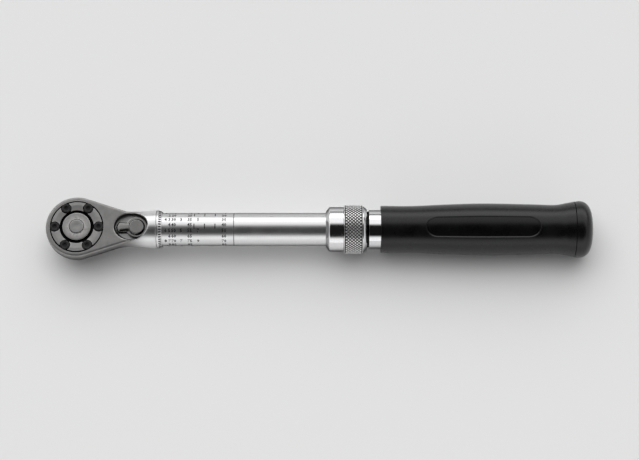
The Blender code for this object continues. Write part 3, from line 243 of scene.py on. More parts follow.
class Paint(Graph):
    """A material that is being mixed."""

    def __init__(self, name: str) -> None:
        """Start a material with this name."""
        self.material = bpy.data.materials.new(name)
        self.material.use_nodes = True
        super().__init__(self.material.node_tree)
        self.shader = self.tree.nodes["Principled BSDF"]
        self.place = self.node("ShaderNodeTexCoord", output="Object")
        parts = self.node("ShaderNodeSeparateXYZ", inputs={0: self.place})
        self.along = parts.output("X") / MM
        self.across = parts.output("Y") / MM
        self.height = parts.output("Z") / MM

    @property
    def lift(self) -> Wire:
        """The height over the wrench's axis, in millimetres."""
        return self.height - AXIS_HEIGHT

    def set(self, name: str, value: Value) -> None:
        """Set or link one of the shader's inputs; a plain colour gets its alpha."""
        if isinstance(value, tuple):
            value = (*value, 1.0)
        self.feed(self.shader.inputs[name], value)

    def blend(self, share: Value, first: Value, second: Value) -> Wire:
        """Mix two colours.

        Args:
            share: how much of the second colour shows.
            first: a colour or a wire.
            second: a colour or a wire.

        Returns:
            The mixed colour.
        """
        pair = [(*c, 1.0) if isinstance(c, tuple) else c for c in (first, second)]
        inputs = {0: share, 6: pair[0], 7: pair[1]}
        return self.node("ShaderNodeMix", {"data_type": "RGBA"}, inputs, output=2)

    def noise(self, grain: float, detail: float = 2.0, at: Wire | None = None) -> Wire:
        """Cloudy noise from 0 to 1.

        Args:
            grain: the size of its spots, in millimetres, or in the units of the place.
            detail: how many finer layers it has.
            at: the place that it is read at; the object's own coordinates if left out.

        Returns:
            The noise.
        """
        scale = 1 / (grain * MM) if at is None else 1 / grain
        inputs = {"Vector": at or self.place, "Scale": scale, "Detail": detail, "Roughness": 0.6}
        return self.node("ShaderNodeTexNoise", inputs=inputs)

    def turning_marks(self, pitch: float, length: float) -> Wire:
        """Fine streaks that run round the wrench's axis.

        Args:
            pitch: the distance between streaks along the wrench.
            length: the length of a streak as an angle, in radians.

        Returns:
            Noise from 0 to 1.
        """
        angle = self.along.maths("ARCTAN2", self.across, self.lift)
        return self.noise(1.0, 3.0, self.vector(self.along / pitch, angle / length, 0.0))

    def wear(self) -> Wire:
        """Rubbed edges, broken up by noise."""
        edge = self.node("ShaderNodeAttribute", {"attribute_name": WEAR}, output="Fac")
        return edge * self.noise(1.6, 4.0).ramp(0.25, 0.6)

    def bump(self, height: Wire, depth: float) -> None:
        """Raise the surface.

        Args:
            height: the pattern, from 0 to 1.
            depth: how high the pattern stands, in millimetres.
        """
        inputs = {"Height": height, "Distance": depth * MM}
        self.set("Normal", self.node("ShaderNodeBump", inputs=inputs))


# Finishes

@dataclass(frozen=True)
class Finish:
    """A surface finish of one material slot."""

    name: str
    slot: Slot
    colour: Colour
    roughness: float
    metallic: float = 1.0

    @cached_property
    def material(self) -> bpy.types.Material:
        """The material, mixed on first use."""
        paint = Paint(self.name)
        paint.set("Metallic", self.metallic)
        self.mix(paint)
        return paint.material

    def mix(self, paint: Paint) -> None:
        """Give the material its colour, roughness and grain."""
        raise NotImplementedError


@dataclass(frozen=True)
class BlastedFinish(Finish):
    """Bead-blasted steel with rubbed edges, and near-black painted shade, with oily dirt, down in the head's recess.
    """

    dark: Colour = (0.2, 0.195, 0.19)
    worn: Colour = (0.62, 0.61, 0.6)
    bright: Colour = (0.74, 0.74, 0.745)
    bright_roughness: float = 0.32
    grain: float = 0.28
    cloud: float = 5.0
    grain_depth: float = 0.03
    # Where shade is painted near black, with oily dirt: inside this reach of the drive's axis, and between these
    # heights over the axis.
    greasy_within: float = 0.0
    greasy_below: float = 0.0
    greasy_above: float = -6.2
    # The near-black colour of that painted shade.
    grease: Colour = (0.004, 0.004, 0.004)

    def polish(self, paint: Paint) -> Value:
        """How far the metal is polished, from 0 to 1."""
        return 0.0

    def stain(self, paint: Paint, colour: Wire) -> Wire:
        """The colour with any stains and painted shade; unchanged here."""
        return colour

    def mix(self, paint: Paint) -> None:
        """Fine grain, faint clouds, rubbed edges, and painted shade with oily dirt down in the recess."""
        grain = paint.noise(self.grain, 3.0)
        cloud = paint.noise(self.cloud, 4.0)
        wear = paint.wear()
        bright = self.polish(paint)
        colour = paint.blend(cloud.ramp(0.3, 0.7) * 0.6 + grain.ramp(0.3, 0.7) * 0.4, self.dark, self.colour)
        colour = self.stain(paint, colour)
        colour = paint.blend(wear * 0.6, colour, self.worn)
        colour = paint.blend(bright, colour, self.bright)
        # Painted shade: near black down in the recess round the cover, in the screw cutouts and round the drive.
        reach = (paint.along * paint.along + paint.across * paint.across).root()
        deep = 1 - paint.lift.ramp(self.greasy_below - 0.2, self.greasy_below)
        deep = deep * paint.lift.ramp(self.greasy_above - 0.2, self.greasy_above)
        recess_dark = deep * (1 - reach.ramp(self.greasy_within, self.greasy_within + 0.1))
        paint.set("Base Color", paint.blend(recess_dark, colour, self.grease))
        matte = self.roughness + (grain - 0.5) * 0.2 - wear * 0.2
        paint.set("Roughness", matte + (self.bright_roughness - matte) * bright)
        paint.bump(grain * (1 - bright), self.grain_depth)


@dataclass(frozen=True)
class ForgedFinish(BlastedFinish):
    """The head's blasted steel, polished at the end of the neck and in the lever's pocket."""

    neck_from: float = 33.0
    neck_to: float = 47.0
    pocket_middle: float = 35.4
    pocket_length: float = 22.2
    pocket_width: float = 18.0
    pocket_floor: float = 2.9
    # Darker towards the bottom of the head's sides: painted shade for the shadowed floor that the sides face, also
    # taken as darker forged skin.
    skin: Colour = (0.035, 0.0345, 0.034)
    skin_low: float = -2.5
    skin_high: float = 6.2
    skin_from: float = 36.0
    skin_to: float = 26.0
    # Painted shade along the pocket's wall: near black, wider on the front side, and lighter on the lit back wall.
    grime: Colour = (0.012, 0.012, 0.012)
    wall_top: float = 5.2
    wall_light: float = 0.35

    def pocket(self, paint: Paint) -> tuple[Wire, Wire]:
        """Masks over the lever's pocket.

        Args:
            paint: the material.

        Returns:
            A mask over the pocket's floor, and one along its wall where shade is painted.
        """
        along = (paint.along - self.pocket_middle) / (self.pocket_length / 2)
        across = paint.across / (self.pocket_width / 2)
        reach = along * along + across * across
        above = paint.lift.ramp(self.pocket_floor - 0.4, self.pocket_floor - 0.2)
        behind = paint.across.ramp(-4.0, 1.0)
        # The band of painted shade is wider along the front wall than along the lit back wall.
        beside = reach.ramp(0.86, 0.95) * behind + reach.ramp(0.68, 0.78) * (1 - behind)
        low = 1 - paint.lift.ramp(self.wall_top - 0.8, self.wall_top)
        rim = 1 - reach.ramp(1.0, 1.03)
        within = rim.maths("MAXIMUM", rim, low * (1 - reach.ramp(1.1, 1.16)))
        return (1 - beside) * above, beside * within * above * (1 - behind * self.wall_light)

    def polish(self, paint: Paint) -> Wire:
        """Polished metal along the neck, and half as bright in the pocket."""
        neck = paint.along.ramp(self.neck_from, self.neck_to)
        floor, wall = self.pocket(paint)
        return neck.maths("MAXIMUM", neck, floor * 0.2) * (1 - wall)

    def stain(self, paint: Paint, colour: Wire) -> Wire:
        """Painted shade down the head's lower sides, also taken as darker forged skin, and painted shade along the
        pocket's wall.
        """
        # Painted shade: the sides darken towards the bottom, ahead of the neck; then the pocket's wall gets its
        # painted shade.
        side = 1 - paint.lift.ramp(self.skin_low, self.skin_high)
        side = side * (1 - paint.along.ramp(self.skin_to, self.skin_from))
        return paint.blend(self.pocket(paint)[1], paint.blend(side, colour, self.skin), self.grime)


@dataclass(frozen=True)
class TurnedFinish(Finish):
    """Turned or brushed metal with streaks round the wrench's axis."""

    streak: float = 0.16
    streak_length: float = 0.5
    streak_depth: float = 0.003
    streak_gloss: float = 0.1
    smudge: float = 14.0
    edge: float = 0.03
    black_from: float = 0.0
    black_to: float = 0.0
    black: Colour = (0.006, 0.006, 0.006)

    def mix(self, paint: Paint) -> None:
        """Streaks, faint finger marks, and edges rubbed lighter."""
        streak = paint.turning_marks(self.streak, self.streak_length)
        smudge = paint.noise(self.smudge, 3.0).ramp(0.45, 0.75)
        wear = paint.wear()
        dull = tuple(0.9 * c for c in self.colour)
        colour = paint.blend(streak.ramp(0.25, 0.75), dull, self.colour)
        colour = paint.blend(wear * 0.3, colour, (0.85, 0.85, 0.85))
        # A black band between two places along the wrench: ink on the printed scale line, and painted shade in the
        # channel cut round the sleeve behind the lock.
        black = paint.along.ramp(self.black_from, self.black_from + 0.05)
        black = black * (1 - paint.along.ramp(self.black_to - 0.05, self.black_to))
        paint.set("Base Color", paint.blend(black, colour, self.black))
        paint.set("Roughness", self.roughness + (streak - 0.5) * self.streak_gloss + smudge * 0.05)
        paint.set("Specular Tint", (self.edge, self.edge, self.edge))
        paint.bump(streak, self.streak_depth)


@dataclass(frozen=True)
class KnurledFinish(Finish):
    """Matte plated knurl, with painted shade down in its grooves."""

    # Painted shade for the bottoms of the knurl's grooves.
    groove: Colour = (0.025, 0.025, 0.025)
    crest: float = Space.of("lock_ring").radius
    depth: float = 0.3

    def mix(self, paint: Paint) -> None:
        """Grooves painted dark as shade, light crests and a fine grain."""
        grain = paint.noise(0.2, 2.0)
        reach = (paint.across * paint.across + paint.lift * paint.lift).root()
        up = (reach - (self.crest - self.depth)) / self.depth
        paint.set("Base Color", paint.blend(up.ramp(0.4, 0.95), self.groove, self.colour))
        paint.set("Roughness", self.roughness + (grain - 0.5) * 0.16)
        paint.bump(grain, 0.008)


@dataclass(frozen=True)
class OxideFinish(Finish):
    """Blackened steel with rubbed edges."""

    worn: Colour = (0.2, 0.195, 0.19)
    rubbed: float = 0.06
    gloss: float = 0.2

    def mix(self, paint: Paint) -> None:
        """Uneven black, a fine grain, and edges rubbed to steel."""
        paint.set("Specular IOR Level", self.gloss)
        grain = paint.noise(0.18, 3.0)
        cloud = paint.noise(2.0, 3.0)
        thin = tuple(2.2 * c for c in self.colour)
        colour = paint.blend(cloud.ramp(0.35, 0.7), self.colour, thin)
        wear = paint.wear() * self.rubbed
        paint.set("Base Color", paint.blend(wear, colour, self.worn))
        paint.set("Metallic", wear)
        paint.set("Roughness", self.roughness + (grain - 0.5) * 0.2)
        paint.bump(grain, 0.012)


@dataclass(frozen=True)
class MouldedFinish(Finish):
    """Moulded rubber or plastic."""

    metallic: float = 0.0
    gloss: float = 0.5
    grain: float = 0.35
    grain_depth: float = 0.02
    cloud: float = 11.0
    rubbed: Colour = (0.02, 0.02, 0.021)

    def mix(self, paint: Paint) -> None:
        """A pebbled skin, cloudy gloss and rubbed edges."""
        pebble = paint.noise(self.grain, 2.0)
        cloud = paint.noise(self.cloud, 4.0)
        colour = paint.blend(cloud.ramp(0.4, 0.75) * 0.35, self.colour, self.rubbed)
        paint.set("Base Color", paint.blend(paint.wear() * 0.5, colour, self.rubbed))
        paint.set("Roughness", self.roughness + (cloud - 0.5) * 0.14 + (pebble - 0.5) * 0.12)
        paint.set("Specular IOR Level", self.gloss)
        paint.bump(pebble, self.grain_depth)


@dataclass(frozen=True)
class InkFinish(Finish):
    """Printed ink, thin in places."""

    metallic: float = 0.0

    def mix(self, paint: Paint) -> None:
        """Dark ink with worn spots."""
        spot = paint.noise(0.5, 3.0)
        faded = tuple(4 * c for c in self.colour)
        paint.set("Base Color", paint.blend(spot.ramp(0.5, 0.8), self.colour, faded))
        paint.set("Roughness", self.roughness + (spot - 0.5) * 0.2)


@dataclass(frozen=True)
class PaperFinish(Finish):
    """The studio's matt paper."""

    metallic: float = 0.0

    def mix(self, paint: Paint) -> None:
        """An even tone with a faint tooth."""
        tooth = paint.noise(1.2, 2.0)
        paint.set("Base Color", paint.blend(tooth, tuple(0.99 * c for c in self.colour), self.colour))
        paint.set("Roughness", self.roughness)
        paint.set("Specular IOR Level", 0.1)


# The reach and height under which shade is painted near black in the head's recess.
RECESS_RADIUS = Space.of("cover_plate").radius + 0.6
RECESS_TOP = Space.of("cover_plate").high.z - AXIS_HEIGHT - 0.35
FORGED = ForgedFinish(
    "forged_blasted", Slot.BLASTED_STEEL, (0.3, 0.296, 0.292), 0.46, dark=(0.23, 0.227, 0.224),
    greasy_within=RECESS_RADIUS, greasy_below=RECESS_TOP,
)
MACHINED = BlastedFinish(
    "machined_blasted", Slot.BLASTED_STEEL, (0.32, 0.316, 0.312), 0.42, dark=(0.26, 0.257, 0.254), cloud=3.0,
    greasy_within=RECESS_RADIUS, greasy_below=RECESS_TOP,
)
THUMB_STEEL = BlastedFinish(
    "thumb_steel", Slot.BRIGHT_STEEL, (0.22, 0.217, 0.214), 0.22, dark=(0.18, 0.178, 0.176), grain_depth=0.006,
)
SATIN = TurnedFinish("satin_chrome", Slot.SATIN_CHROME, (0.85, 0.85, 0.855), 0.31)
SCALE_LINE = 102.3
LINE_WIDTH = 0.45
PRINTED = TurnedFinish(
    "printed_chrome", Slot.SATIN_CHROME, (0.85, 0.85, 0.855), 0.31, black=(0.1, 0.1, 0.1),
    black_from=SCALE_LINE - LINE_WIDTH / 2, black_to=SCALE_LINE + LINE_WIDTH / 2,
)
POLISHED = TurnedFinish(
    "polished_chrome", Slot.POLISHED_CHROME, (0.86, 0.86, 0.87), 0.13, streak_depth=0.001, streak_gloss=0.05,
)
GROOVE_START = 188.75
GROOVE_WIDTH = 1.5
# The channel cut round the sleeve behind the lock is painted black: painted shade.
SLEEVE = TurnedFinish(
    "sleeve_chrome", Slot.POLISHED_CHROME, (0.86, 0.86, 0.87), 0.1, streak_depth=0.001, streak_gloss=0.05,
    black_from=GROOVE_START, black_to=GROOVE_START + GROOVE_WIDTH,
)
STEEL = TurnedFinish("bright_steel", Slot.BRIGHT_STEEL, (0.6, 0.59, 0.58), 0.26)
SPRING_WIRE = TurnedFinish("spring_steel", Slot.SPRING_STEEL, (0.36, 0.35, 0.34), 0.34, streak=0.5)
BRONZE = TurnedFinish("bronze", Slot.BRONZE, (0.55, 0.36, 0.16), 0.34)
KNURLED = KnurledFinish("knurled_nickel", Slot.KNURLED_NICKEL, (0.88, 0.88, 0.875), 0.34)
BLACK_OXIDE = OxideFinish(
    "black_oxide", Slot.BLACK_OXIDE, (0.0028, 0.0028, 0.0028), 0.34, metallic=0.0, worn=(0.34, 0.335, 0.33),
)
RUBBER = MouldedFinish(
    "black_rubber", Slot.BLACK_RUBBER, (0.0014, 0.0014, 0.0015), 0.28, gloss=0.44, grain_depth=0.006,
    rubbed=(0.006, 0.006, 0.0062),
)
SEAL_RUBBER = MouldedFinish(
    "seal_rubber", Slot.BLACK_RUBBER, (0.0012, 0.0012, 0.0012), 0.6, gloss=0.08, rubbed=(0.003, 0.003, 0.003),
)
PANEL = MouldedFinish(
    "panel_plastic", Slot.PANEL_PLASTIC, (0.0012, 0.0012, 0.0012), 0.28, gloss=0.3, grain_depth=0.004,
    rubbed=(0.004, 0.004, 0.004),
)
INK = InkFinish("scale_ink", Slot.BLACK_OXIDE, (0.004, 0.004, 0.0045), 0.5)
PAPER = PaperFinish("studio_paper", Slot.PANEL_PLASTIC, (0.64, 0.64, 0.64), 0.9)


# Meshes

def to_object(name: str, bm: bmesh.types.BMesh) -> bpy.types.Object:
    """Make an object from a mesh in millimetres.

    Args:
        name: the object's name.
        bm: a closed mesh, which is used up.

    Returns:
        The object, with its faces pointing out.
    """
    bmesh.ops.remove_doubles(bm, verts=bm.verts, dist=WELD)
    bmesh.ops.recalc_face_normals(bm, faces=bm.faces)
    bm.transform(Matrix.Scale(MM, 4))
    mesh = bpy.data.meshes.new(name)
    bm.to_mesh(mesh)
    bm.free()
    return add_object(name, mesh)


def add_object(name: str, data: bpy.types.ID) -> bpy.types.Object:
    """Put new data in the scene as an object."""
    obj = bpy.data.objects.new(name, data)
    bpy.context.scene.collection.objects.link(obj)
    return obj


def bake(obj: bpy.types.Object) -> bpy.types.Object:
    """Make an object's modifiers part of its mesh.

    Args:
        obj: the object.

    Returns:
        The same object, with a plain mesh.
    """
    depsgraph = bpy.context.evaluated_depsgraph_get()
    mesh = bpy.data.meshes.new_from_object(obj.evaluated_get(depsgraph), depsgraph=depsgraph)
    old = obj.data
    obj.modifiers.clear()
    obj.data = mesh
    bpy.data.meshes.remove(old)
    mesh.name = obj.name
    return obj


def carve(obj: bpy.types.Object, how: Carve, *tools: bpy.types.Object) -> bpy.types.Object:
    """Cut or join an object with others, which are used up.

    Args:
        obj: the object to change.
        how: what the tools do to it.
        tools: closed objects.

    Returns:
        The changed object.
    """
    for tool in tools:
        modifier = obj.modifiers.new(tool.name, "BOOLEAN")
        modifier.operation = how.value
        modifier.solver = "MANIFOLD"
        modifier.object = tool
    bake(obj)
    for tool in tools:
        bpy.data.meshes.remove(tool.data)
    return obj


def rounded(corners: Profile, fillet: float, closed: bool) -> list[Vector]:
    """Round the corners of a profile.

    Args:
        corners: points with two places, and a third number where a corner has its own rounding.
        fillet: the rounding of the other corners.
        closed: whether the last point joins the first.

    Returns:
        The rounded profile, with a support point beside each arc so that flat faces stay flat.
    """
    points = []
    last = len(corners) - 1
    for i, corner in enumerate(corners):
        here = Vector(corner[:2])
        size = corner[2] if len(corner) > 2 else fillet
        if size < TINY or (not closed and i in (0, last)):
            points.append(here)
            continue
        to_before = Vector(corners[i - 1][:2]) - here
        to_after = Vector(corners[(i + 1) % len(corners)][:2]) - here
        trim = min(size, 0.3 * to_before.length, 0.3 * to_after.length)
        start = to_before.normalized() * trim
        end = to_after.normalized() * trim
        points.append(here + start * 1.5)
        for step in range(FILLET_STEPS + 1):
            t = step / FILLET_STEPS
            points.append(here + start * (1 - t) ** 2 + end * t ** 2)
        points.append(here + end * 1.5)
    return points


def turned(
    name: str,
    corners: Profile,
    axis: Axis = Axis.ALONG,
    centre: tuple[float, float] = (0.0, 0.0),
    sides: int = ROUND_SIDES,
    fillet: float = 0.0,
) -> bpy.types.Object:
    """Turn a profile about a line.

    Args:
        name: the object's name.
        corners: places along the line with their radii; a profile off the line makes a ring.
        axis: the direction of the line.
        centre: where the line passes, as x and y for an upright one, or y and height over the axis.
        sides: how many sides a full turn has.
        fillet: the rounding of the profile's corners.

    Returns:
        The object.
    """
    closed = corners[0][1] > TINY or corners[-1][1] > TINY
    turns = [2 * math.pi * i / sides for i in range(sides)]
    bm = bmesh.new()

    def point(along: float, u: float, v: float) -> Place:
        """A point of the turned piece."""
        if axis is Axis.ALONG:
            return (along, centre[0] + u, AXIS_HEIGHT + centre[1] + v)
        return (centre[0] + u, centre[1] + v, AXIS_HEIGHT + along)

    rings = []
    for along, radius in rounded(corners, fillet, closed):
        if radius < TINY:
            rings.append([bm.verts.new(point(along, 0.0, 0.0))])
        else:
            rings.append([bm.verts.new(point(along, radius * math.cos(a), radius * math.sin(a))) for a in turns])
    bridge(bm, rings + rings[:1] if closed else rings)
    return to_object(name, bm)


def bridge(bm: bmesh.types.BMesh, rings: Sequence[Sequence[bmesh.types.BMVert]]) -> None:
    """Fill the strips between rings of points; a ring of one point is a pole."""
    for first, second in zip(rings, rings[1:]):
        count = max(len(first), len(second))
        if count == 1:
            continue
        for i in range(count):
            loop = [first[i % len(first)], first[(i + 1) % len(first)]]
            loop += [second[(i + 1) % len(second)], second[i % len(second)]]
            bm.faces.new(list(dict.fromkeys(loop)))


def lofted(name: str, sections: Sequence[Iterable[Place]]) -> bpy.types.Object:
    """Run a skin over sections with equal numbers of points, and close both ends."""
    bm = bmesh.new()
    rings = [[bm.verts.new((x, y, AXIS_HEIGHT + z)) for x, y, z in section] for section in sections]
    bridge(bm, rings)
    bm.faces.new(rings[0])
    bm.faces.new(rings[-1])
    return to_object(name, bm)


def prism(name: str, outline: Iterable[tuple[float, float]], low: float, high: float) -> bpy.types.Object:
    """Raise an outline between two heights over the axis."""
    points = list(outline)
    return lofted(name, [[(x, y, z) for x, y in points] for z in (low, high)])


def rod(name: str, start: Place, end: Place, radius: float, sides: int = SMALL_SIDES) -> bpy.types.Object:
    """A plain round rod, used as a cutter; heights are over the axis."""
    way = Vector(end) - Vector(start)
    turn = way.to_track_quat("Z", "Y").to_matrix().to_4x4()
    place = Matrix.Translation(Vector(start)) @ turn
    circle = [(radius * math.cos(a), radius * math.sin(a)) for a in angles(sides)]
    levels = (0.0, way.length)
    return lofted(name, [[tuple(place @ Vector((x, y, z))) for x, y in circle] for z in levels])


def angles(count: int) -> list[float]:
    """Evenly spread angles of a full turn."""
    return [2 * math.pi * i / count for i in range(count)]


def arc(x: float, y: float, radius: float, start: float, end: float, count: int) -> list[tuple[float, float]]:
    """Points along an arc."""
    turns = [start + (end - start) * i / (count - 1) for i in range(count)]
    return [(x + radius * math.cos(a), y + radius * math.sin(a)) for a in turns]


def flowing(points: Profile, steps: int) -> list[tuple[float, ...]]:
    """A smooth curve through points.

    Args:
        points: tuples of numbers.
        steps: how many steps each stretch has.

    Returns:
        The curve's points.
    """
    rows = [np.array(p, float) for p in points]
    rows = [2 * rows[0] - rows[1], *rows, 2 * rows[-1] - rows[-2]]
    curve = []
    for before, start, end, after in zip(rows, rows[1:], rows[2:], rows[3:]):
        for step in range(steps):
            t = step / steps
            bend = (2 * before - 5 * start + 4 * end - after) * t + (3 * start - before - 3 * end + after) * t * t
            curve.append(tuple(start + 0.5 * t * (end - before + bend)))
    return [*curve, tuple(points[-1])]


def hexagon(apothem: float, sides: int) -> list[tuple[float, float]]:
    """A hexagon with as many points as a round section."""
    sixth = math.pi / 3
    reach = [(a, apothem / math.cos((a + sixth / 2) % sixth - sixth / 2)) for a in angles(sides)]
    return [(r * math.cos(a), r * math.sin(a)) for a, r in reach]


def soften(obj: bpy.types.Object, voxel: float, repeat: int) -> bpy.types.Object:
    """Melt the joints of a solid together, as in a forging.

    Args:
        obj: a closed object.
        voxel: the size of its new faces, in millimetres.
        repeat: how often the new surface is smoothed.

    Returns:
        The object with an even mesh and rounded edges.
    """
    remesh = obj.modifiers.new("melt", "REMESH")
    remesh.mode = "VOXEL"
    remesh.voxel_size = voxel * MM
    smooth = obj.modifiers.new("smooth", "SMOOTH")
    smooth.factor = 0.5
    smooth.iterations = repeat
    return bake(obj)


def mark_wear(mesh: bpy.types.Mesh) -> None:
    """Store how far each point of a mesh stands out as an edge that hands would rub."""
    count = len(mesh.vertices)
    places = np.empty(count * 3)
    normals = np.empty(count * 3)
    ends = np.empty(len(mesh.edges) * 2, dtype=np.int32)
    mesh.vertices.foreach_get("co", places)
    mesh.vertices.foreach_get("normal", normals)
    mesh.edges.foreach_get("vertices", ends)
    places = places.reshape(-1, 3)
    normals = normals.reshape(-1, 3)
    first, second = ends.reshape(-1, 2).T
    way = places[second] - places[first]
    way /= np.maximum(np.linalg.norm(way, axis=1), TINY * MM)[:, None]
    drop = np.zeros(count)
    edges = np.zeros(count)
    np.add.at(drop, first, -(way * normals[first]).sum(axis=1))
    np.add.at(drop, second, (way * normals[second]).sum(axis=1))
    np.add.at(edges, first, 1)
    np.add.at(edges, second, 1)
    bend = drop / np.maximum(edges, 1)
    layer = mesh.attributes.new(WEAR, "FLOAT", "POINT")
    layer.data.foreach_set("value", np.clip((bend - 0.025) * 9, 0, 1).astype(np.float32))


def hand_over(
    obj: bpy.types.Object,
    body: str,
    finish: Finish,
    nodes: Sequence[str] = (),
    sharp: float = SHARP,
    flat_faces: bool = False,
) -> bpy.types.Object:
    """Shade and dress a finished piece, and let it ride on its body.

    Args:
        obj: the piece.
        body: the moving body that carries it.
        finish: what its surface is like.
        nodes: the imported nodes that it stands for.
        sharp: edges bent by more than this stay sharp.
        flat_faces: whether large flat faces keep their own shading beside rounded edges.

    Returns:
        The piece.
    """
    mesh = obj.data
    mesh.shade_smooth()
    mesh.set_sharp_from_angle(angle=sharp)
    if flat_faces:
        modifier = obj.modifiers.new("flat_faces", "WEIGHTED_NORMAL")
        modifier.keep_sharp = True
        mesh = bake(obj).data
    mark_wear(mesh)
    mesh.materials.clear()
    mesh.materials.append(finish.material)
    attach(obj, body)
    if nodes:
        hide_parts(*nodes)
    LOG.info("%s rides on %s with %d faces", obj.name, body, len(mesh.polygons))
    return obj


class RingPattern(Graph):
    """A node tree that sets copies of a small shape in rows round the wrench's axis."""

    LENGTHS = ("Radius", "Start", "Pitch", "Height")
    ANGLES = ("First", "Step", "Stagger")
    COUNTS = ("Count", "Rows")

    def __init__(self) -> None:
        """Build the tree with its named inputs."""
        super().__init__(bpy.data.node_groups.new("ring_pattern", "GeometryNodeTree"))
        kinds = {"Shape": "Object", "Finish": "Material"}
        kinds.update({name: "Int" for name in self.COUNTS})
        kinds.update({name: "Float" for name in self.LENGTHS + self.ANGLES})
        for name, kind in kinds.items():
            self.tree.interface.new_socket(name, in_out="INPUT", socket_type=f"NodeSocket{kind}")
        self.tree.interface.new_socket("Copies", in_out="OUTPUT", socket_type="NodeSocketGeometry")
        given = self.node("NodeGroupInput")
        number = self.node("GeometryNodeInputIndex")
        count = given.output("Count")
        row = self.node("ShaderNodeMath", {"operation": "FLOOR"}, {0: number / count})
        column = number - row * count
        turn = given.output("First") + given.output("Step") * column + given.output("Stagger") * row
        out = given.output("Radius")
        place = self.vector(
            given.output("Start") + given.output("Pitch") * row,
            0 - out * turn.maths("SINE", turn),
            given.output("Height") + out * turn.maths("COSINE", turn),
        )
        spots = self.node("GeometryNodePoints", inputs={0: count * given.output("Rows"), 1: place})
        shape = self.node("GeometryNodeObjectInfo", inputs={"Object": given.output("Shape")}, output="Geometry")
        upright = (1.0, 0.0, 0.0)
        turned_by = self.node("FunctionNodeAxisAngleToRotation", inputs={"Axis": upright, "Angle": turn})
        inputs = {"Points": spots, "Instance": shape, "Rotation": turned_by}
        copies = self.node("GeometryNodeInstanceOnPoints", inputs=inputs)
        solid = self.node("GeometryNodeRealizeInstances", inputs={0: copies})
        inputs = {"Geometry": solid, "Material": given.output("Finish")}
        dressed = self.node("GeometryNodeSetMaterial", inputs=inputs)
        self.node("NodeGroupOutput", inputs={0: dressed})

    def spread(self, name: str, shape: bpy.types.Object, finish: Finish, **sizes: float) -> bpy.types.Object:
        """Set copies of a shape round the axis.

        Args:
            name: the new object's name.
            shape: the shape, with its outer side up at the origin; it is used up.
            finish: the copies' finish.
            sizes: the tree's other inputs by name, in millimetres and radians.

        Returns:
            One object with all the copies as a plain mesh.
        """
        obj = add_object(name, bpy.data.meshes.new(name))
        modifier = obj.modifiers.new("pattern", "NODES")
        modifier.node_group = self.tree
        values = {"Shape": shape, "Finish": finish.material, "Height": AXIS_HEIGHT, "Count": 1, "Rows": 1, **sizes}
        for item in self.tree.interface.items_tree:
            if item.in_out == "OUTPUT" or item.name not in values:
                continue
            value = values[item.name]
            modifier[item.identifier] = value * MM if item.name in self.LENGTHS else value
        bake(obj)
        bpy.data.meshes.remove(shape.data)
        return obj


def at_origin(obj: bpy.types.Object) -> bpy.types.Object:
    """Bring a small shape down from the axis to the origin, for a pattern."""
    obj.data.transform(Matrix.Translation((0, 0, -AXIS_HEIGHT * MM)))
    return obj


# Sub-assemblies

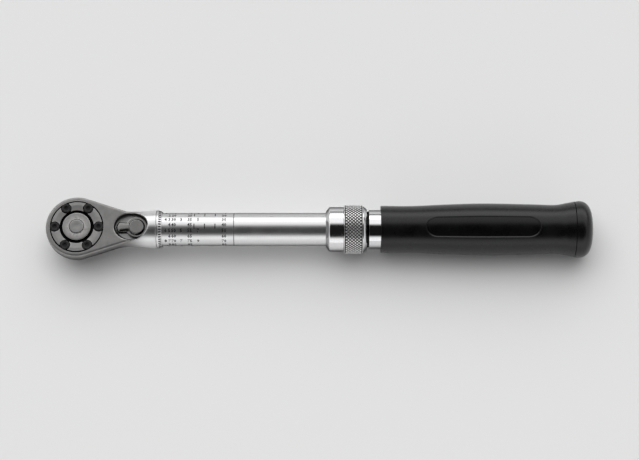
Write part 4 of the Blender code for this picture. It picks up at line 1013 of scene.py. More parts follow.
@dataclass
class RatchetHead:
    """The forged head with its cover, screws, seal and graduated ring."""

    pattern: RingPattern
    top_rounding: float = 1.4
    bottom_rounding: float = 5.0
    taper: float = math.radians(18.3)
    plate_reach: float = 36.0
    neck_start: float = 22.0
    neck_sections: tuple[tuple[float, ...], ...] = (
        (0.0, 1.11, 0.48, 3.2), (0.1, 1.045, 0.5, 3.1), (0.2, 0.985, 0.54, 2.9), (0.3, 0.95, 0.6, 2.65),
        (0.4, 0.936, 0.68, 2.4), (0.535, 0.934, 0.79, 2.2), (0.67, 0.948, 0.885, 2.08), (0.8, 0.975, 0.955, 2.0),
        (1.0, 1.0, 1.0, 2.0),
    )
    pocket_front: float = 24.3
    pocket_back: float = 46.5
    pocket_half_width: float = 9.0
    pocket_floor: float = 2.9
    lever_reach: float = 38.9
    lever_bore: float = 4.2
    pawl_reach: float = 19.5
    cover_floor: float = 4.3
    cover_bore: float = 11.1
    cover_cone: float = 0.3
    cover_trim: float = 0.25
    recess_gap: float = 0.6
    fit: float = 0.2
    drive_room: float = 12.7
    drive_floor: float = -4.1
    journal_bore: float = 9.2
    socket_bore: float = 11.2
    socket_floor: float = 48.3
    arm_reach: float = 100.0
    cutout_radius: float = 3.5
    cutout_floor: float = 5.5
    screw_circle: float = 14.3
    screw_count: int = 6
    screw_seat: float = 5.7
    screw_radius: float = 3.0
    screw_rise: float = 1.0
    screw_hex: float = 1.45
    screw_hex_depth: float = 0.75
    screw_shank: float = 1.25
    screw_length: float = 3.2
    ring_marks: int = 44
    mark_width: float = 0.95
    voxel: float = 0.36

    def __post_init__(self) -> None:
        """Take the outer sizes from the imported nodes."""
        self.space = Space.of("ratchet_head")
        self.cover = Space.of("cover_plate")
        self.ring = Space.of("graduated_ring")
        self.half = self.cover.high.z - AXIS_HEIGHT
        self.radius = -self.space.low.x
        self.socket_radius = self.ring.radius
        self.socket_reach = self.ring.low.x - self.fit

    def build(self) -> None:
        """Make all the pieces of the head."""
        hand_over(self.forging(), "head", FORGED, ["ratchet_head"])
        hand_over(self.cover_plate(), "head", MACHINED, ["cover_plate"], flat_faces=True)
        screws = [f"cover_screw_{number + 1}" for number in range(self.screw_count)]
        hand_over(self.screws(), "head", BLACK_OXIDE, screws)
        hand_over(self.seal(), "head", SEAL_RUBBER, ["hub_seal"])
        hand_over(self.bevel_ring(), "head", SATIN, ["graduated_ring"])
        hand_over(self.bevel_marks(), "head", INK)
        hand_over(self.pawl_pin(), "head", STEEL, ["pawl_pin"])

    def plan(self, inset: float) -> list[tuple[float, float]]:
        """The head from above: a round end, and straight sides that run in to the neck."""
        radius = self.radius - inset
        turn = math.pi / 2 - self.taper
        end = arc(0, 0, radius, turn, 2 * math.pi - turn, ROUND_SIDES)
        side = radius * math.sin(turn) - (self.plate_reach - radius * math.cos(turn)) * math.tan(self.taper)
        return [*end, (self.plate_reach, -side), (self.plate_reach, side)]

    def slab(self) -> bpy.types.Object:
        """The flat round part of the head."""
        steps = 8
        turns = [math.pi / 2 * i / steps for i in range(steps + 1)]
        top, bottom = self.top_rounding, self.bottom_rounding
        levels = [(bottom * (1 - math.sin(a)) - self.half, bottom * (1 - math.cos(a))) for a in reversed(turns)]
        levels += [(self.half - top * (1 - math.sin(a)), top * (1 - math.cos(a))) for a in turns]
        return lofted("head_forging", [[(x, y, z) for x, y in self.plan(inset)] for z, inset in levels])

    def neck(self) -> bpy.types.Object:
        """The neck, which grows from a flat oval to the round socket."""
        sections = []
        length = self.socket_reach - self.neck_start
        for share, across, up, square in flowing(self.neck_sections, 8):
            section = []
            for a in angles(ROUND_SIDES):
                y = math.copysign(abs(math.cos(a)) ** (2 / square), math.cos(a))
                z = math.copysign(abs(math.sin(a)) ** (2 / square), math.sin(a))
                x = self.neck_start + share * length
                section.append((x, self.socket_radius * across * y, self.socket_radius * up * z))
            sections.append(section)
        return lofted("neck", sections)

    def pocket(self) -> bpy.types.Object:
        """A cutter for the oval pocket that the lever swings in."""
        middle = (self.pocket_front + self.pocket_back) / 2
        half = (self.pocket_back - self.pocket_front) / 2
        outline = [(middle + half * math.cos(a), self.pocket_half_width * math.sin(a)) for a in angles(ROUND_SIDES)]
        return prism("pocket", outline, self.pocket_floor, 2 * self.radius)

    def forging(self) -> bpy.types.Object:
        """The forging, melted together and then machined.

        Returns:
            The head with its neck, pocket, bores and click arm.
        """
        head = carve(self.slab(), Carve.JOIN, self.neck())
        carve(head, Carve.CUT, self.pocket())
        soften(head, self.voxel, 7)
        past = 2 * self.radius
        recess_radius = self.cover.radius + self.recess_gap
        edge = 0.1
        recess = turned(
            "cover_recess",
            [
                (self.cover_floor, 0), (self.cover_floor, recess_radius), (self.half - edge, recess_radius),
                (self.half + edge, recess_radius + 2 * edge), (past, recess_radius + 2 * edge), (past, 0),
            ],
            Axis.UP,
        )
        room = rod("drive_room", (0, 0, self.drive_floor), (0, 0, past), self.drive_room, ROUND_SIDES)
        journal = rod("journal", (0, 0, -past), (0, 0, past), self.journal_bore, ROUND_SIDES)
        shaft = rod("shaft_bore", (self.lever_reach, 0, -past), (self.lever_reach, 0, past), self.lever_bore)
        under = Space.of("lever_screw")
        seat = rod(
            "screw_seat", (self.lever_reach, 0, -past), (self.lever_reach, 0, under.high.z - AXIS_HEIGHT - 3.6),
            under.radius + self.fit,
        )
        pin_foot = (self.pawl_reach, 0, -past)
        pin = rod("pin_hole", pin_foot, (self.pawl_reach, 0, 0), Space.of("pawl_pin").radius + self.fit)
        mouth = self.socket_reach + edge
        socket = turned(
            "socket",
            [
                (self.socket_floor, 0), (self.socket_floor, self.socket_bore),
                (mouth, self.socket_bore), (mouth, 0),
            ],
        )
        carve(head, Carve.CUT, recess, room, journal, shaft, seat, pin, socket)
        return carve(head, Carve.JOIN, self.click_arm())

    def click_arm(self) -> bpy.types.Object:
        """The arm that reaches into the tube, with a hole for the pivot pin."""
        sections = []
        for x, size in ((self.socket_floor - 1.0, 8.0), (self.arm_reach - 0.6, 6.4), (self.arm_reach, 5.8)):
            sections.append([(x, size * math.cos(a), size * math.sin(a)) for a in angles(SMALL_SIDES)])
        pin = Space.of("pivot_pin")
        reach = 2 * self.radius
        hole = rod("arm_hole", (pin.middle.x, 0, -reach), (pin.middle.x, 0, reach), pin.radius + self.fit)
        return carve(lofted("click_arm", sections), Carve.CUT, hole)

    def screw_spots(self) -> list[tuple[float, float]]:
        """Where the cover's screws sit."""
        return [(self.screw_circle * math.cos(a), self.screw_circle * math.sin(a)) for a in angles(self.screw_count)]

    def cover_plate(self) -> bpy.types.Object:
        """The round cover with a scalloped pad between each pair of screws."""
        bore = self.cover_bore
        radius = self.cover.radius - self.cover_trim
        low = self.cover.low.z - AXIS_HEIGHT
        inner_top = self.half - self.cover_cone
        plate = turned(
            "cover",
            [
                (low, bore), (low, radius), (self.half - 0.06, radius), (self.half, radius - 2.0),
                (inner_top, bore),
            ],
            Axis.UP,
            fillet=0.15,
        )
        for number, centre in enumerate(self.screw_spots()):
            cutter = rod(
                f"cutout_{number}", (*centre, self.cutout_floor), (*centre, 2 * self.half), self.cutout_radius,
            )
            hole = rod(f"hole_{number}", (*centre, -self.half), (*centre, 2 * self.half), self.screw_shank + 0.2)
            carve(plate, Carve.CUT, cutter, hole)
        return plate

    def screws(self) -> bpy.types.Object:
        """The cover's socket screws, set out by the pattern and stood upright."""
        sides = 48
        floor = self.screw_rise - self.screw_hex_depth
        edge = 0.32

        def circle(radius: float) -> list[tuple[float, float]]:
            """A round section."""
            return [(radius * math.cos(a), radius * math.sin(a)) for a in angles(sides)]

        sections = (
            (-self.screw_length, circle(self.screw_shank - 0.3)),
            (-self.screw_length + 0.4, circle(self.screw_shank)), (0.0, circle(self.screw_shank)),
            (0.0, circle(self.screw_radius - 0.1)), (0.1, circle(self.screw_radius)),
            (self.screw_rise - edge, circle(self.screw_radius)),
            (self.screw_rise - 0.1, circle(self.screw_radius - 0.09)),
            (self.screw_rise, circle(self.screw_radius - edge)),
            (self.screw_rise, circle(self.screw_hex * 1.28)),
            (self.screw_rise - 0.12, hexagon(self.screw_hex, sides)),
            (floor, hexagon(self.screw_hex, sides)), (floor - 0.2, circle(0.15)),
        )
        shape = at_origin(lofted("screw", [[(x, y, z) for y, z in outline] for x, outline in sections]))
        shape.data.shade_smooth()
        shape.data.set_sharp_from_angle(angle=SHARP)
        step = 2 * math.pi / self.screw_count
        screws = self.pattern.spread(
            "cover_screws", shape, BLACK_OXIDE, Count=self.screw_count, Radius=self.screw_circle, Step=step,
            Start=self.screw_seat + AXIS_HEIGHT, Height=0.0,
        )
        screws.data.transform(Matrix.Rotation(-math.pi / 2, 4, "Y"))
        return screws

    def seal(self) -> bpy.types.Object:
        """The rubber ring between the cover and the hub, with a rounded lip."""
        space = Space.of("hub_seal")
        low = space.low.z - AXIS_HEIGHT
        high = space.high.z - AXIS_HEIGHT - 0.3
        inner = self.journal_bore + 0.3
        return turned(
            "seal",
            [(low, inner), (low, space.radius), (high - 0.4, space.radius, 0.3), (high, space.radius - 0.6, 0.3),
             (high, inner + 0.3, 0.2), (high - 0.4, inner, 0.2)],
            Axis.UP,
            fillet=0.1,
        )

    def bevel_ring(self) -> bpy.types.Object:
        """The bevelled ring at the socket's mouth."""
        return turned(
            "bevel_ring",
            [
                (self.ring.low.x, self.socket_bore), (self.ring.low.x, self.socket_radius),
                (self.ring.low.x + 0.9, self.socket_radius), (self.ring.high.x, self.socket_bore + 0.3),
                (self.ring.high.x, self.socket_bore),
            ],
            fillet=0.12,
        )

    def bevel_marks(self) -> bpy.types.Object:
        """The fine marks round the bevelled ring."""
        start = self.ring.low.x + 0.9
        length = self.ring.high.x - start
        fall = self.socket_radius - self.socket_bore - 0.3
        half = self.mark_width / 2
        outline = [(-0.36 * length, -half), (0.36 * length, -half), (0.36 * length, half), (-0.36 * length, half)]
        shape = at_origin(prism("mark", outline, -0.1, 0.03))
        shape.data.transform(Matrix.Rotation(math.atan2(fall, length), 4, "Y"))
        return self.pattern.spread(
            "bevel_marks", shape, INK, Count=self.ring_marks, Radius=self.socket_radius - fall / 2,
            Step=2 * math.pi / self.ring_marks, Start=start + length / 2,
        )

    def pawl_pin(self) -> bpy.types.Object:
        """The pawl's pin with broken edges."""
        return upright_pin("pawl_post", Space.of("pawl_pin"))


def upright_pin(name: str, space: Space) -> bpy.types.Object:
    """A plain upright pin with rounded ends, in the space of its node."""
    low = space.low.z - AXIS_HEIGHT
    high = space.high.z - AXIS_HEIGHT
    corners = [(low, 0), (low, space.radius, 0.35), (high, space.radius, 0.35), (high, 0)]
    return turned(name, corners, Axis.UP, (space.middle.x, space.middle.y), SMALL_SIDES)


@dataclass
class SquareDrive:
    """The ratchet gear with its hub and square, the release button and the ball."""

    teeth: int = 36
    tip_radius: float = 12.4
    tooth_depth: float = 1.1
    tooth_tip: float = 0.35
    gear_low: float = -3.9
    gear_high: float = 4.1
    hub_radius: float = 9.2
    journal_radius: float = 9.0
    square: float = 9.525
    square_edge: float = 0.7
    square_top: float = -7.0
    end_chamfer: float = 0.6
    button_gap: float = 0.2
    button_dish: float = 0.1
    button_depth: float = 3.5
    button_room: float = 8.6
    stem_radius: float = 1.7

    def __post_init__(self) -> None:
        """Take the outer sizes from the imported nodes."""
        self.top = Space.of("drive_gear").high.z - AXIS_HEIGHT
        self.button = Space.of("release_button")
        self.ball = Space.of("drive_ball")

    def build(self) -> None:
        """Make all the pieces of the drive."""
        hand_over(self.gear(), "drive", MACHINED, ["drive_gear"], flat_faces=True)
        hand_over(self.release_button(), "release", MACHINED, ["release_button"])
        hand_over(self.detent_ball(), "ball", STEEL, ["drive_ball"])

    def tooth_outline(self) -> list[tuple[float, float]]:
        """The gear's outline."""
        points = []
        root = self.tip_radius - self.tooth_depth
        pitch = 2 * math.pi / self.teeth
        tip = self.tooth_tip / self.tip_radius
        for number in range(self.teeth):
            middle = number * pitch
            places = (
                (root, -0.5 * pitch + 0.1 * tip), (self.tip_radius - 0.1, -tip), (self.tip_radius, -0.6 * tip),
                (self.tip_radius, 0.6 * tip), (self.tip_radius - 0.1, tip), (root, 0.5 * pitch - 0.1 * tip),
            )
            points += [(r * math.cos(middle + a), r * math.sin(middle + a)) for r, a in places]
        return points

    def square_outline(self, inset: float) -> list[tuple[float, float]]:
        """A square with rounded corners."""
        half = self.square / 2 - inset
        corner = self.square_edge
        points = []
        for number in range(4):
            turn = math.pi / 4 + number * math.pi / 2
            x = math.copysign(half - corner, math.cos(turn))
            y = math.copysign(half - corner, math.sin(turn))
            points += arc(x, y, corner, turn - math.pi / 4, turn + math.pi / 4, 7)
        return points

    def gear(self) -> bpy.types.Object:
        """The gear, hub and square in one piece.

        Returns:
            The drive with the rooms for the button, its stem and the ball.
        """
        gear = prism("drive", self.tooth_outline(), self.gear_low, self.gear_high)
        hub = turned(
            "hub",
            [
                (self.square_top, 0), (self.square_top, self.journal_radius, 0.4), (0, self.journal_radius, 0),
                (0, self.hub_radius, 0), (self.top, self.hub_radius, 0.5), (self.top, 0),
            ],
            Axis.UP,
        )
        end = -AXIS_HEIGHT
        levels = ((end, self.end_chamfer), (end + self.end_chamfer, 0.0), (0.5 * self.square_top, 0.0))
        square = lofted("square", [[(x, y, z) for x, y in self.square_outline(inset)] for z, inset in levels])
        button = self.button.radius + self.button_gap
        room = turned(
            "button_room",
            [
                (self.top - self.button_room, 0), (self.top - self.button_room, button),
                (self.top - 0.2, button), (self.top + 0.2, button + 0.4), (2 * self.top, button + 0.4),
                (2 * self.top, 0),
            ],
            Axis.UP,
        )
        stem = rod("stem_room", (0, 0, -AXIS_HEIGHT + 2.0), (0, 0, 0), self.stem_radius + self.button_gap)
        height = self.ball.middle.z - AXIS_HEIGHT
        ball = rod("ball_room", (0, 0, height), (0, -self.square, height), self.ball.radius + 0.1)
        carve(gear, Carve.JOIN, hub, square)
        return carve(gear, Carve.CUT, room, stem, ball)

    def release_button(self) -> bpy.types.Object:
        """The push button, lightly dished, on its long stem."""
        radius = self.button.radius
        foot = self.button.low.z - AXIS_HEIGHT
        waist = self.ball.middle.z - AXIS_HEIGHT + 2.5
        under = self.top - self.button_depth
        return turned(
            "push_button",
            [
                (foot, 0), (foot, 1.3), (waist - 2.5, 1.3), (waist, 0.6), (waist + 2.4, self.stem_radius),
                (under, self.stem_radius), (under, radius), (self.top, radius, 0.5),
                (self.top, 0.55 * radius, 0.6), (self.top - self.button_dish, 0.15 * radius, 0.3),
                (self.top - self.button_dish, 0),
            ],
            Axis.UP,
            sides=96,
            fillet=0.15,
        )

    def detent_ball(self) -> bpy.types.Object:
        """The ball that holds a socket on the square."""
        radius = self.ball.radius
        steps = 24
        turns = [math.pi * i / steps for i in range(steps + 1)]
        height = self.ball.middle.z - AXIS_HEIGHT
        corners = [(height - radius * math.cos(a), radius * math.sin(a)) for a in turns]
        return turned("detent_ball", corners, Axis.UP, (0, self.ball.middle.y), SMALL_SIDES)


@dataclass
class ReversingLever:
    """The thumb lever in the head's pocket, and the screw that holds it from below."""

    boss_low: float = 3.1
    boss_high: float = 5.1
    boss_radius: float = 6.9
    top_radius: float = 4.5
    arm_half: float = 3.5
    arm_root: float = 2.9
    nose_radius: float = 4.2
    arm_side: float = 2.0
    arm_relief: float = 0.9
    arm_drop: float = 0.2
    arm_crown: float = 0.7
    arm_slope: float = 0.09
    shaft_radius: float = 4.0
    screw_hex: float = 2.0
    voxel: float = 0.17

    def __post_init__(self) -> None:
        """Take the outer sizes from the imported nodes."""
        self.space = Space.of("reversing_lever")
        self.under = Space.of("lever_screw")
        self.reach = self.under.middle.x
        self.top = self.space.high.z - AXIS_HEIGHT

    def build(self) -> None:
        """Make the lever and its screw."""
        hand_over(self.lever(), "lever", THUMB_STEEL, ["reversing_lever"])
        hand_over(self.screw(), "lever", BLACK_OXIDE, ["lever_screw"])

    def arm(self) -> bpy.types.Object:
        """The arm, which widens into the boss."""
        centre = self.space.low.x + self.nose_radius

        def outline(inset: float) -> list[tuple[float, float]]:
            """The arm from above."""
            half = self.arm_half - inset
            root = self.arm_root - inset
            nose = self.nose_radius - inset
            spread = math.asin(half / nose)
            front = arc(centre, 0, nose, math.pi - spread, math.pi + spread, 33)
            return [*front, (self.reach - self.top_radius, -root), (self.reach, -root), (self.reach, root),
                    (self.reach - self.top_radius, root)]

        layers = [(self.boss_low + 0.1, self.arm_relief, 0.0)]
        side = self.boss_low + self.arm_side
        steps = 6
        for step in range(steps + 1):
            turn = math.pi / 2 * step / steps
            height = side + (self.top - self.arm_drop - side) * math.sin(turn)
            layers.append((height, self.arm_crown * self.arm_half * (1 - math.cos(turn)), self.arm_slope))
        return lofted(
            "lever_arm",
            [[(x, y, z + slope * (x - self.reach)) for x, y in outline(inset)] for z, inset, slope in layers],
        )

    def lever(self) -> bpy.types.Object:
        """The lever, melted together as a casting, on its shaft."""
        centre = (self.reach, 0)
        lever = turned(
            "thumb_lever",
            [
                (self.boss_low, 0), (self.boss_low, self.boss_radius), (self.boss_high, self.boss_radius),
                (self.boss_high, self.top_radius + 0.9), (self.top - 0.3, self.top_radius + 0.3),
                (self.top, self.top_radius), (self.top, 0),
            ],
            Axis.UP,
            centre,
        )
        carve(lever, Carve.JOIN, self.arm())
        soften(lever, self.voxel, 4)
        low = self.space.low.z - AXIS_HEIGHT
        shaft = turned(
            "shaft",
            [(low, 0), (low, self.shaft_radius, 0.3), (self.boss_low + 1, self.shaft_radius), (self.boss_low + 1, 0)],
            Axis.UP,
            centre,
            SMALL_SIDES,
        )
        carve(lever, Carve.JOIN, shaft)
        thread = rod("thread", (self.reach, 0, low - 1), (self.reach, 0, low + 3.8), 1.6)
        pin = Space.of("pawl_plunger")
        height = pin.middle.z - AXIS_HEIGHT
        room = rod(
            "plunger_room", (self.reach - 2 * self.shaft_radius, 0, height), (self.reach + 2.5, 0, height),
            pin.radius + 0.2,
        )
        return carve(lever, Carve.CUT, thread, room)

    def screw(self) -> bpy.types.Object:
        """The low-headed screw under the neck, with a hexagon socket."""
        low = self.under.low.z - AXIS_HEIGHT
        high = self.under.high.z - AXIS_HEIGHT
        under = low + 1.4
        screw = turned(
            "shaft_screw",
            [
                (low, 0), (low, self.under.radius, 0.45), (under, self.under.radius), (under, 1.5), (high, 1.5),
                (high, 0),
            ],
            Axis.UP,
            (self.reach, 0),
            96,
            0.12,
        )
        points = [(self.reach + x, y) for x, y in hexagon(self.screw_hex, 48)]
        return carve(screw, Carve.CUT, prism("screw_socket", points, low - 1, low + 0.8))


@dataclass(frozen=True)
class Column:
    """A column of the scale: its place along the wrench, and its numbers by rows."""

    reach: float
    first: int
    step: int = 1
    stride: int = 1


@dataclass
class ScaleTube:
    """The plated tube with its printed scale, and the pin that the head tilts on."""

    pattern: RingPattern
    bore: float = 9.1
    edge: float = 0.4
    station: float = 4.0
    line_depth: float = 0.16
    digit_size: float = 3.1
    digit_weight: float = 0.1
    ink_depth: float = 0.03
    columns: tuple[Column, ...] = (
        Column(58.1, 2, 2, 2), Column(60.6, 1), Column(63.4, 10, 10), Column(68.2, 1, 2, 2),
        Column(73.8, 15, 10), Column(79.2, 3, 2, 2), Column(96.0, 10, 10),
    )
    row_count: int = 9
    row_first: float = math.radians(60)
    row_step: float = math.radians(20.3)
    tick_start: float = 76.6
    tick_pitch: float = 6.8
    tick_rows: int = 3
    tick_width: float = 0.6
    tick_span: float = math.radians(17.5)
    tick_first: float = math.radians(5.3)
    tick_step: float = math.radians(-50)

    def __post_init__(self) -> None:
        """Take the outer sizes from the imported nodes."""
        self.space = Space.of("tube")
        self.radius = self.space.radius

    def build(self) -> None:
        """Make the tube, its pin and its printing."""
        hand_over(self.tube(), "tube", PRINTED, ["tube"])
        hand_over(upright_pin("tilt_pin", Space.of("pivot_pin")), "tube", STEEL, ["pivot_pin"])
        hand_over(self.numbers(), "tube", INK)
        hand_over(self.ticks(), "tube", INK)

    def tube(self) -> bpy.types.Object:
        """The tube with its engraved ring and pin holes."""
        start, end = self.space.low.x, self.space.high.x
        half = LINE_WIDTH / 2
        outer = [(start, self.radius, self.edge)]
        count = int((end - start) / self.station)
        outer += [(start + (end - start) * i / count, self.radius, 0) for i in range(1, count)]
        outer = [corner for corner in outer if abs(corner[0] - SCALE_LINE) > 2 * half]
        outer += [
            (SCALE_LINE - half, self.radius, 0), (SCALE_LINE, self.radius - self.line_depth, 0),
            (SCALE_LINE + half, self.radius, 0), (end, self.radius, self.edge),
        ]
        outer.sort(key=lambda corner: corner[0])
        tube = turned("plated_tube", [(start, self.bore), *outer, (end, self.bore)])
        holes = []
        for node, depth in (("pivot_pin", self.bore + 0.8), ("nut_dowel", -self.bore / 2)):
            pin = Space.of(node)
            foot = (pin.middle.x, 0, -2 * self.radius)
            holes.append(rod(f"{node}_hole", foot, (pin.middle.x, 0, depth), pin.radius + 0.1))
        return carve(tube, Carve.CUT, *holes)

    def numbers(self) -> bpy.types.Object:
        """Columns of plain numbers, wrapped round the tube."""
        bm = bmesh.new()
        for column in self.columns:
            for count, row in enumerate(range(0, self.row_count, column.stride)):
                number = column.first + count * column.step
                self.wrap(bm, str(number), column.reach, self.row_first - row * self.row_step)
        return to_object("scale_numbers", bm)

    def wrap(self, bm: bmesh.types.BMesh, text: str, reach: float, turn: float) -> None:
        """Add one number to a mesh.

        Args:
            bm: the mesh.
            text: the number.
            reach: its middle along the wrench.
            turn: its middle round the tube, from the top towards the back.
        """
        curve = bpy.data.curves.new("number", "FONT")
        curve.body = text
        curve.size = self.digit_size
        curve.align_x = "CENTER"
        curve.align_y = "CENTER"
        curve.extrude = self.ink_depth
        curve.offset = self.digit_weight
        curve.resolution_u = 1
        label = bake_curve(curve)
        for vertex in label.vertices:
            u, v, w = vertex.co
            angle = turn + v / self.radius
            out = self.radius + w
            vertex.co = (reach + u, out * math.sin(angle), AXIS_HEIGHT + out * math.cos(angle))
        bm.from_mesh(label)
        bpy.data.meshes.remove(label)

    def ticks(self) -> bpy.types.Object:
        """Short lines across the scale, set out by the pattern."""
        steps = 8
        half = self.tick_width / 2
        sections = []
        for step in range(steps + 1):
            angle = self.tick_span * (step / steps - 0.5)
            ring = []
            for x, out in ((-half, -0.05), (half, -0.05), (half, self.ink_depth), (-half, self.ink_depth)):
                reach = self.radius + out
                ring.append((x, reach * math.sin(angle), reach * math.cos(angle) - self.radius))
            sections.append(ring)
        shape = at_origin(lofted("tick", sections))
        return self.pattern.spread(
            "scale_ticks", shape, INK, Count=2, Rows=self.tick_rows, Radius=self.radius, Start=self.tick_start,
            Pitch=self.tick_pitch, First=self.tick_first, Step=self.tick_step,
        )


def bake_curve(curve: bpy.types.Curve) -> bpy.types.Mesh:
    """Turn a text or curve into a mesh, and remove it."""
    obj = add_object("curve", curve)
    depsgraph = bpy.context.evaluated_depsgraph_get()
    mesh = bpy.data.meshes.new_from_object(obj.evaluated_get(depsgraph), depsgraph=depsgraph)
    bpy.data.curves.remove(curve)
    return mesh


@dataclass
class Thimble:
    """The bright collar and the sleeve that the handle turns with."""

    sleeve_bore: float = 11.0
    collar_lip: float = 0.5
    collar_flare: float = 2.2
    collar_front: float = 3.1
    gap: float = 0.2
    groove_depth: float = 0.8

    def __post_init__(self) -> None:
        """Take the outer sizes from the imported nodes."""
        self.collar_space = Space.of("thimble_collar")
        self.sleeve_space = Space.of("handle_sleeve")
        self.sleeve_radius = self.sleeve_space.radius

    def build(self) -> None:
        """Make the collar and the sleeve."""
        hand_over(self.collar(), "handle", POLISHED, ["thimble_collar"])
        hand_over(self.sleeve(), "handle", SLEEVE, ["handle_sleeve"])

    def collar(self) -> bpy.types.Object:
        """The collar with its rounded flare."""
        start, end = self.collar_space.low.x, self.collar_space.high.x
        radius = self.collar_space.radius
        inner = self.sleeve_radius + self.gap
        shoulder = start + self.collar_front
        return turned(
            "collar",
            [
                (start, self.sleeve_bore), (start, self.sleeve_bore + self.collar_lip),
                (start + self.collar_flare, radius, 0.6), (end, radius, 0.3), (end, inner),
                (shoulder, inner), (shoulder, self.sleeve_bore),
            ],
            fillet=0.12,
        )

    def sleeve(self) -> bpy.types.Object:
        """The sleeve with the grooves for the retainer and behind the lock."""
        start, end = self.sleeve_space.low.x, self.sleeve_space.high.x
        radius = self.sleeve_radius
        ring = Space.of("spring_retainer")
        corners = [(start, self.sleeve_bore), (start, radius)]
        grooves = ((ring.low.x - self.gap, ring.high.x + self.gap, 0.5),)
        grooves += ((GROOVE_START, GROOVE_START + GROOVE_WIDTH, self.groove_depth),)
        for left, right, depth in grooves:
            corners += [(left, radius), (left, radius - depth), (right, radius - depth), (right, radius)]
        corners += [(end, radius), (end, self.sleeve_bore)]
        return turned("bright_sleeve", corners, fillet=0.12)


@dataclass
class LockRing:
    """The knurled ring that is pulled back to free the handle, and its cone."""

    pattern: RingPattern
    rim: float = 0.25
    rim_groove: float = 0.05
    knurl_depth: float = 0.36
    knurl_count: int = 46
    knurl_crest: float = 0.5
    bore: float = 12.7
    room: float = 14.3
    room_start: float = 179.0
    cone_tip: float = 0.3
    cone_step: float = 0.45

    def __post_init__(self) -> None:
        """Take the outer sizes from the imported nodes."""
        self.space = Space.of("lock_ring")
        self.cone_space = Space.of("lock_ring_cap")
        self.radius = self.space.radius

    def build(self) -> None:
        """Make the ring, its knurl and its cone."""
        hand_over(self.ring(), "lock", KNURLED, ["lock_ring"])
        hand_over(self.knurl(), "lock", KNURLED, sharp=0.0)
        hand_over(self.cone(), "lock", POLISHED, ["lock_ring_cap"])

    def ring(self) -> bpy.types.Object:
        """The ring with its two plain rims."""
        start, end = self.space.low.x, self.space.high.x
        floor = self.radius - self.knurl_depth
        left = start + self.rim
        right = end - self.rim
        return turned(
            "ring_body",
            [
                (start, self.bore), (start, self.radius, 0.35), (left, self.radius, 0.12),
                (left + self.rim_groove, floor, 0.05), (right - self.rim_groove, floor, 0.05),
                (right, self.radius, 0.12), (end, self.radius, 0.35), (end, self.room),
                (self.room_start, self.room), (self.room_start, self.bore),
            ],
            fillet=0.1,
        )

    def knurl(self) -> bpy.types.Object:
        """Rows of small diamonds, each row turned half a pitch from the last."""
        step = 2 * math.pi / self.knurl_count
        half = self.radius * step / 2
        start = self.space.low.x + self.rim + self.rim_groove
        length = self.space.high.x - self.rim - self.rim_groove - start
        rows = int(length / half) - 1
        pitch = (length - 2 * half) / (rows - 1)
        sections = []
        for size, z in ((1.0, -self.knurl_depth - 0.05), (0.97, -self.knurl_depth), (self.knurl_crest, 0.0)):
            along, across = size * pitch, size * half
            sections.append([(along, 0, z), (0, across, z), (-along, 0, z), (0, -across, z)])
        shape = at_origin(lofted("diamond", sections))
        return self.pattern.spread(
            "ring_knurl", shape, KNURLED, Count=self.knurl_count, Rows=rows, Radius=self.radius,
            Start=start + half, Pitch=pitch, Step=step, Stagger=step / 2,
        )

    def cone(self) -> bpy.types.Object:
        """The polished cone behind the knurl."""
        start, end = self.cone_space.low.x, self.cone_space.high.x
        rim = self.cone_space.radius - self.cone_step
        tip = self.bore + self.cone_tip
        crown = start + 0.62 * (end - start)
        outer = [(*point, 0) for point in flowing(((start + 0.4, rim), (crown, (rim + tip) / 2), (end, tip)), 8)]
        return turned("cone", [(start, self.bore), (start, rim, 0.1), *outer, (end, self.bore)])


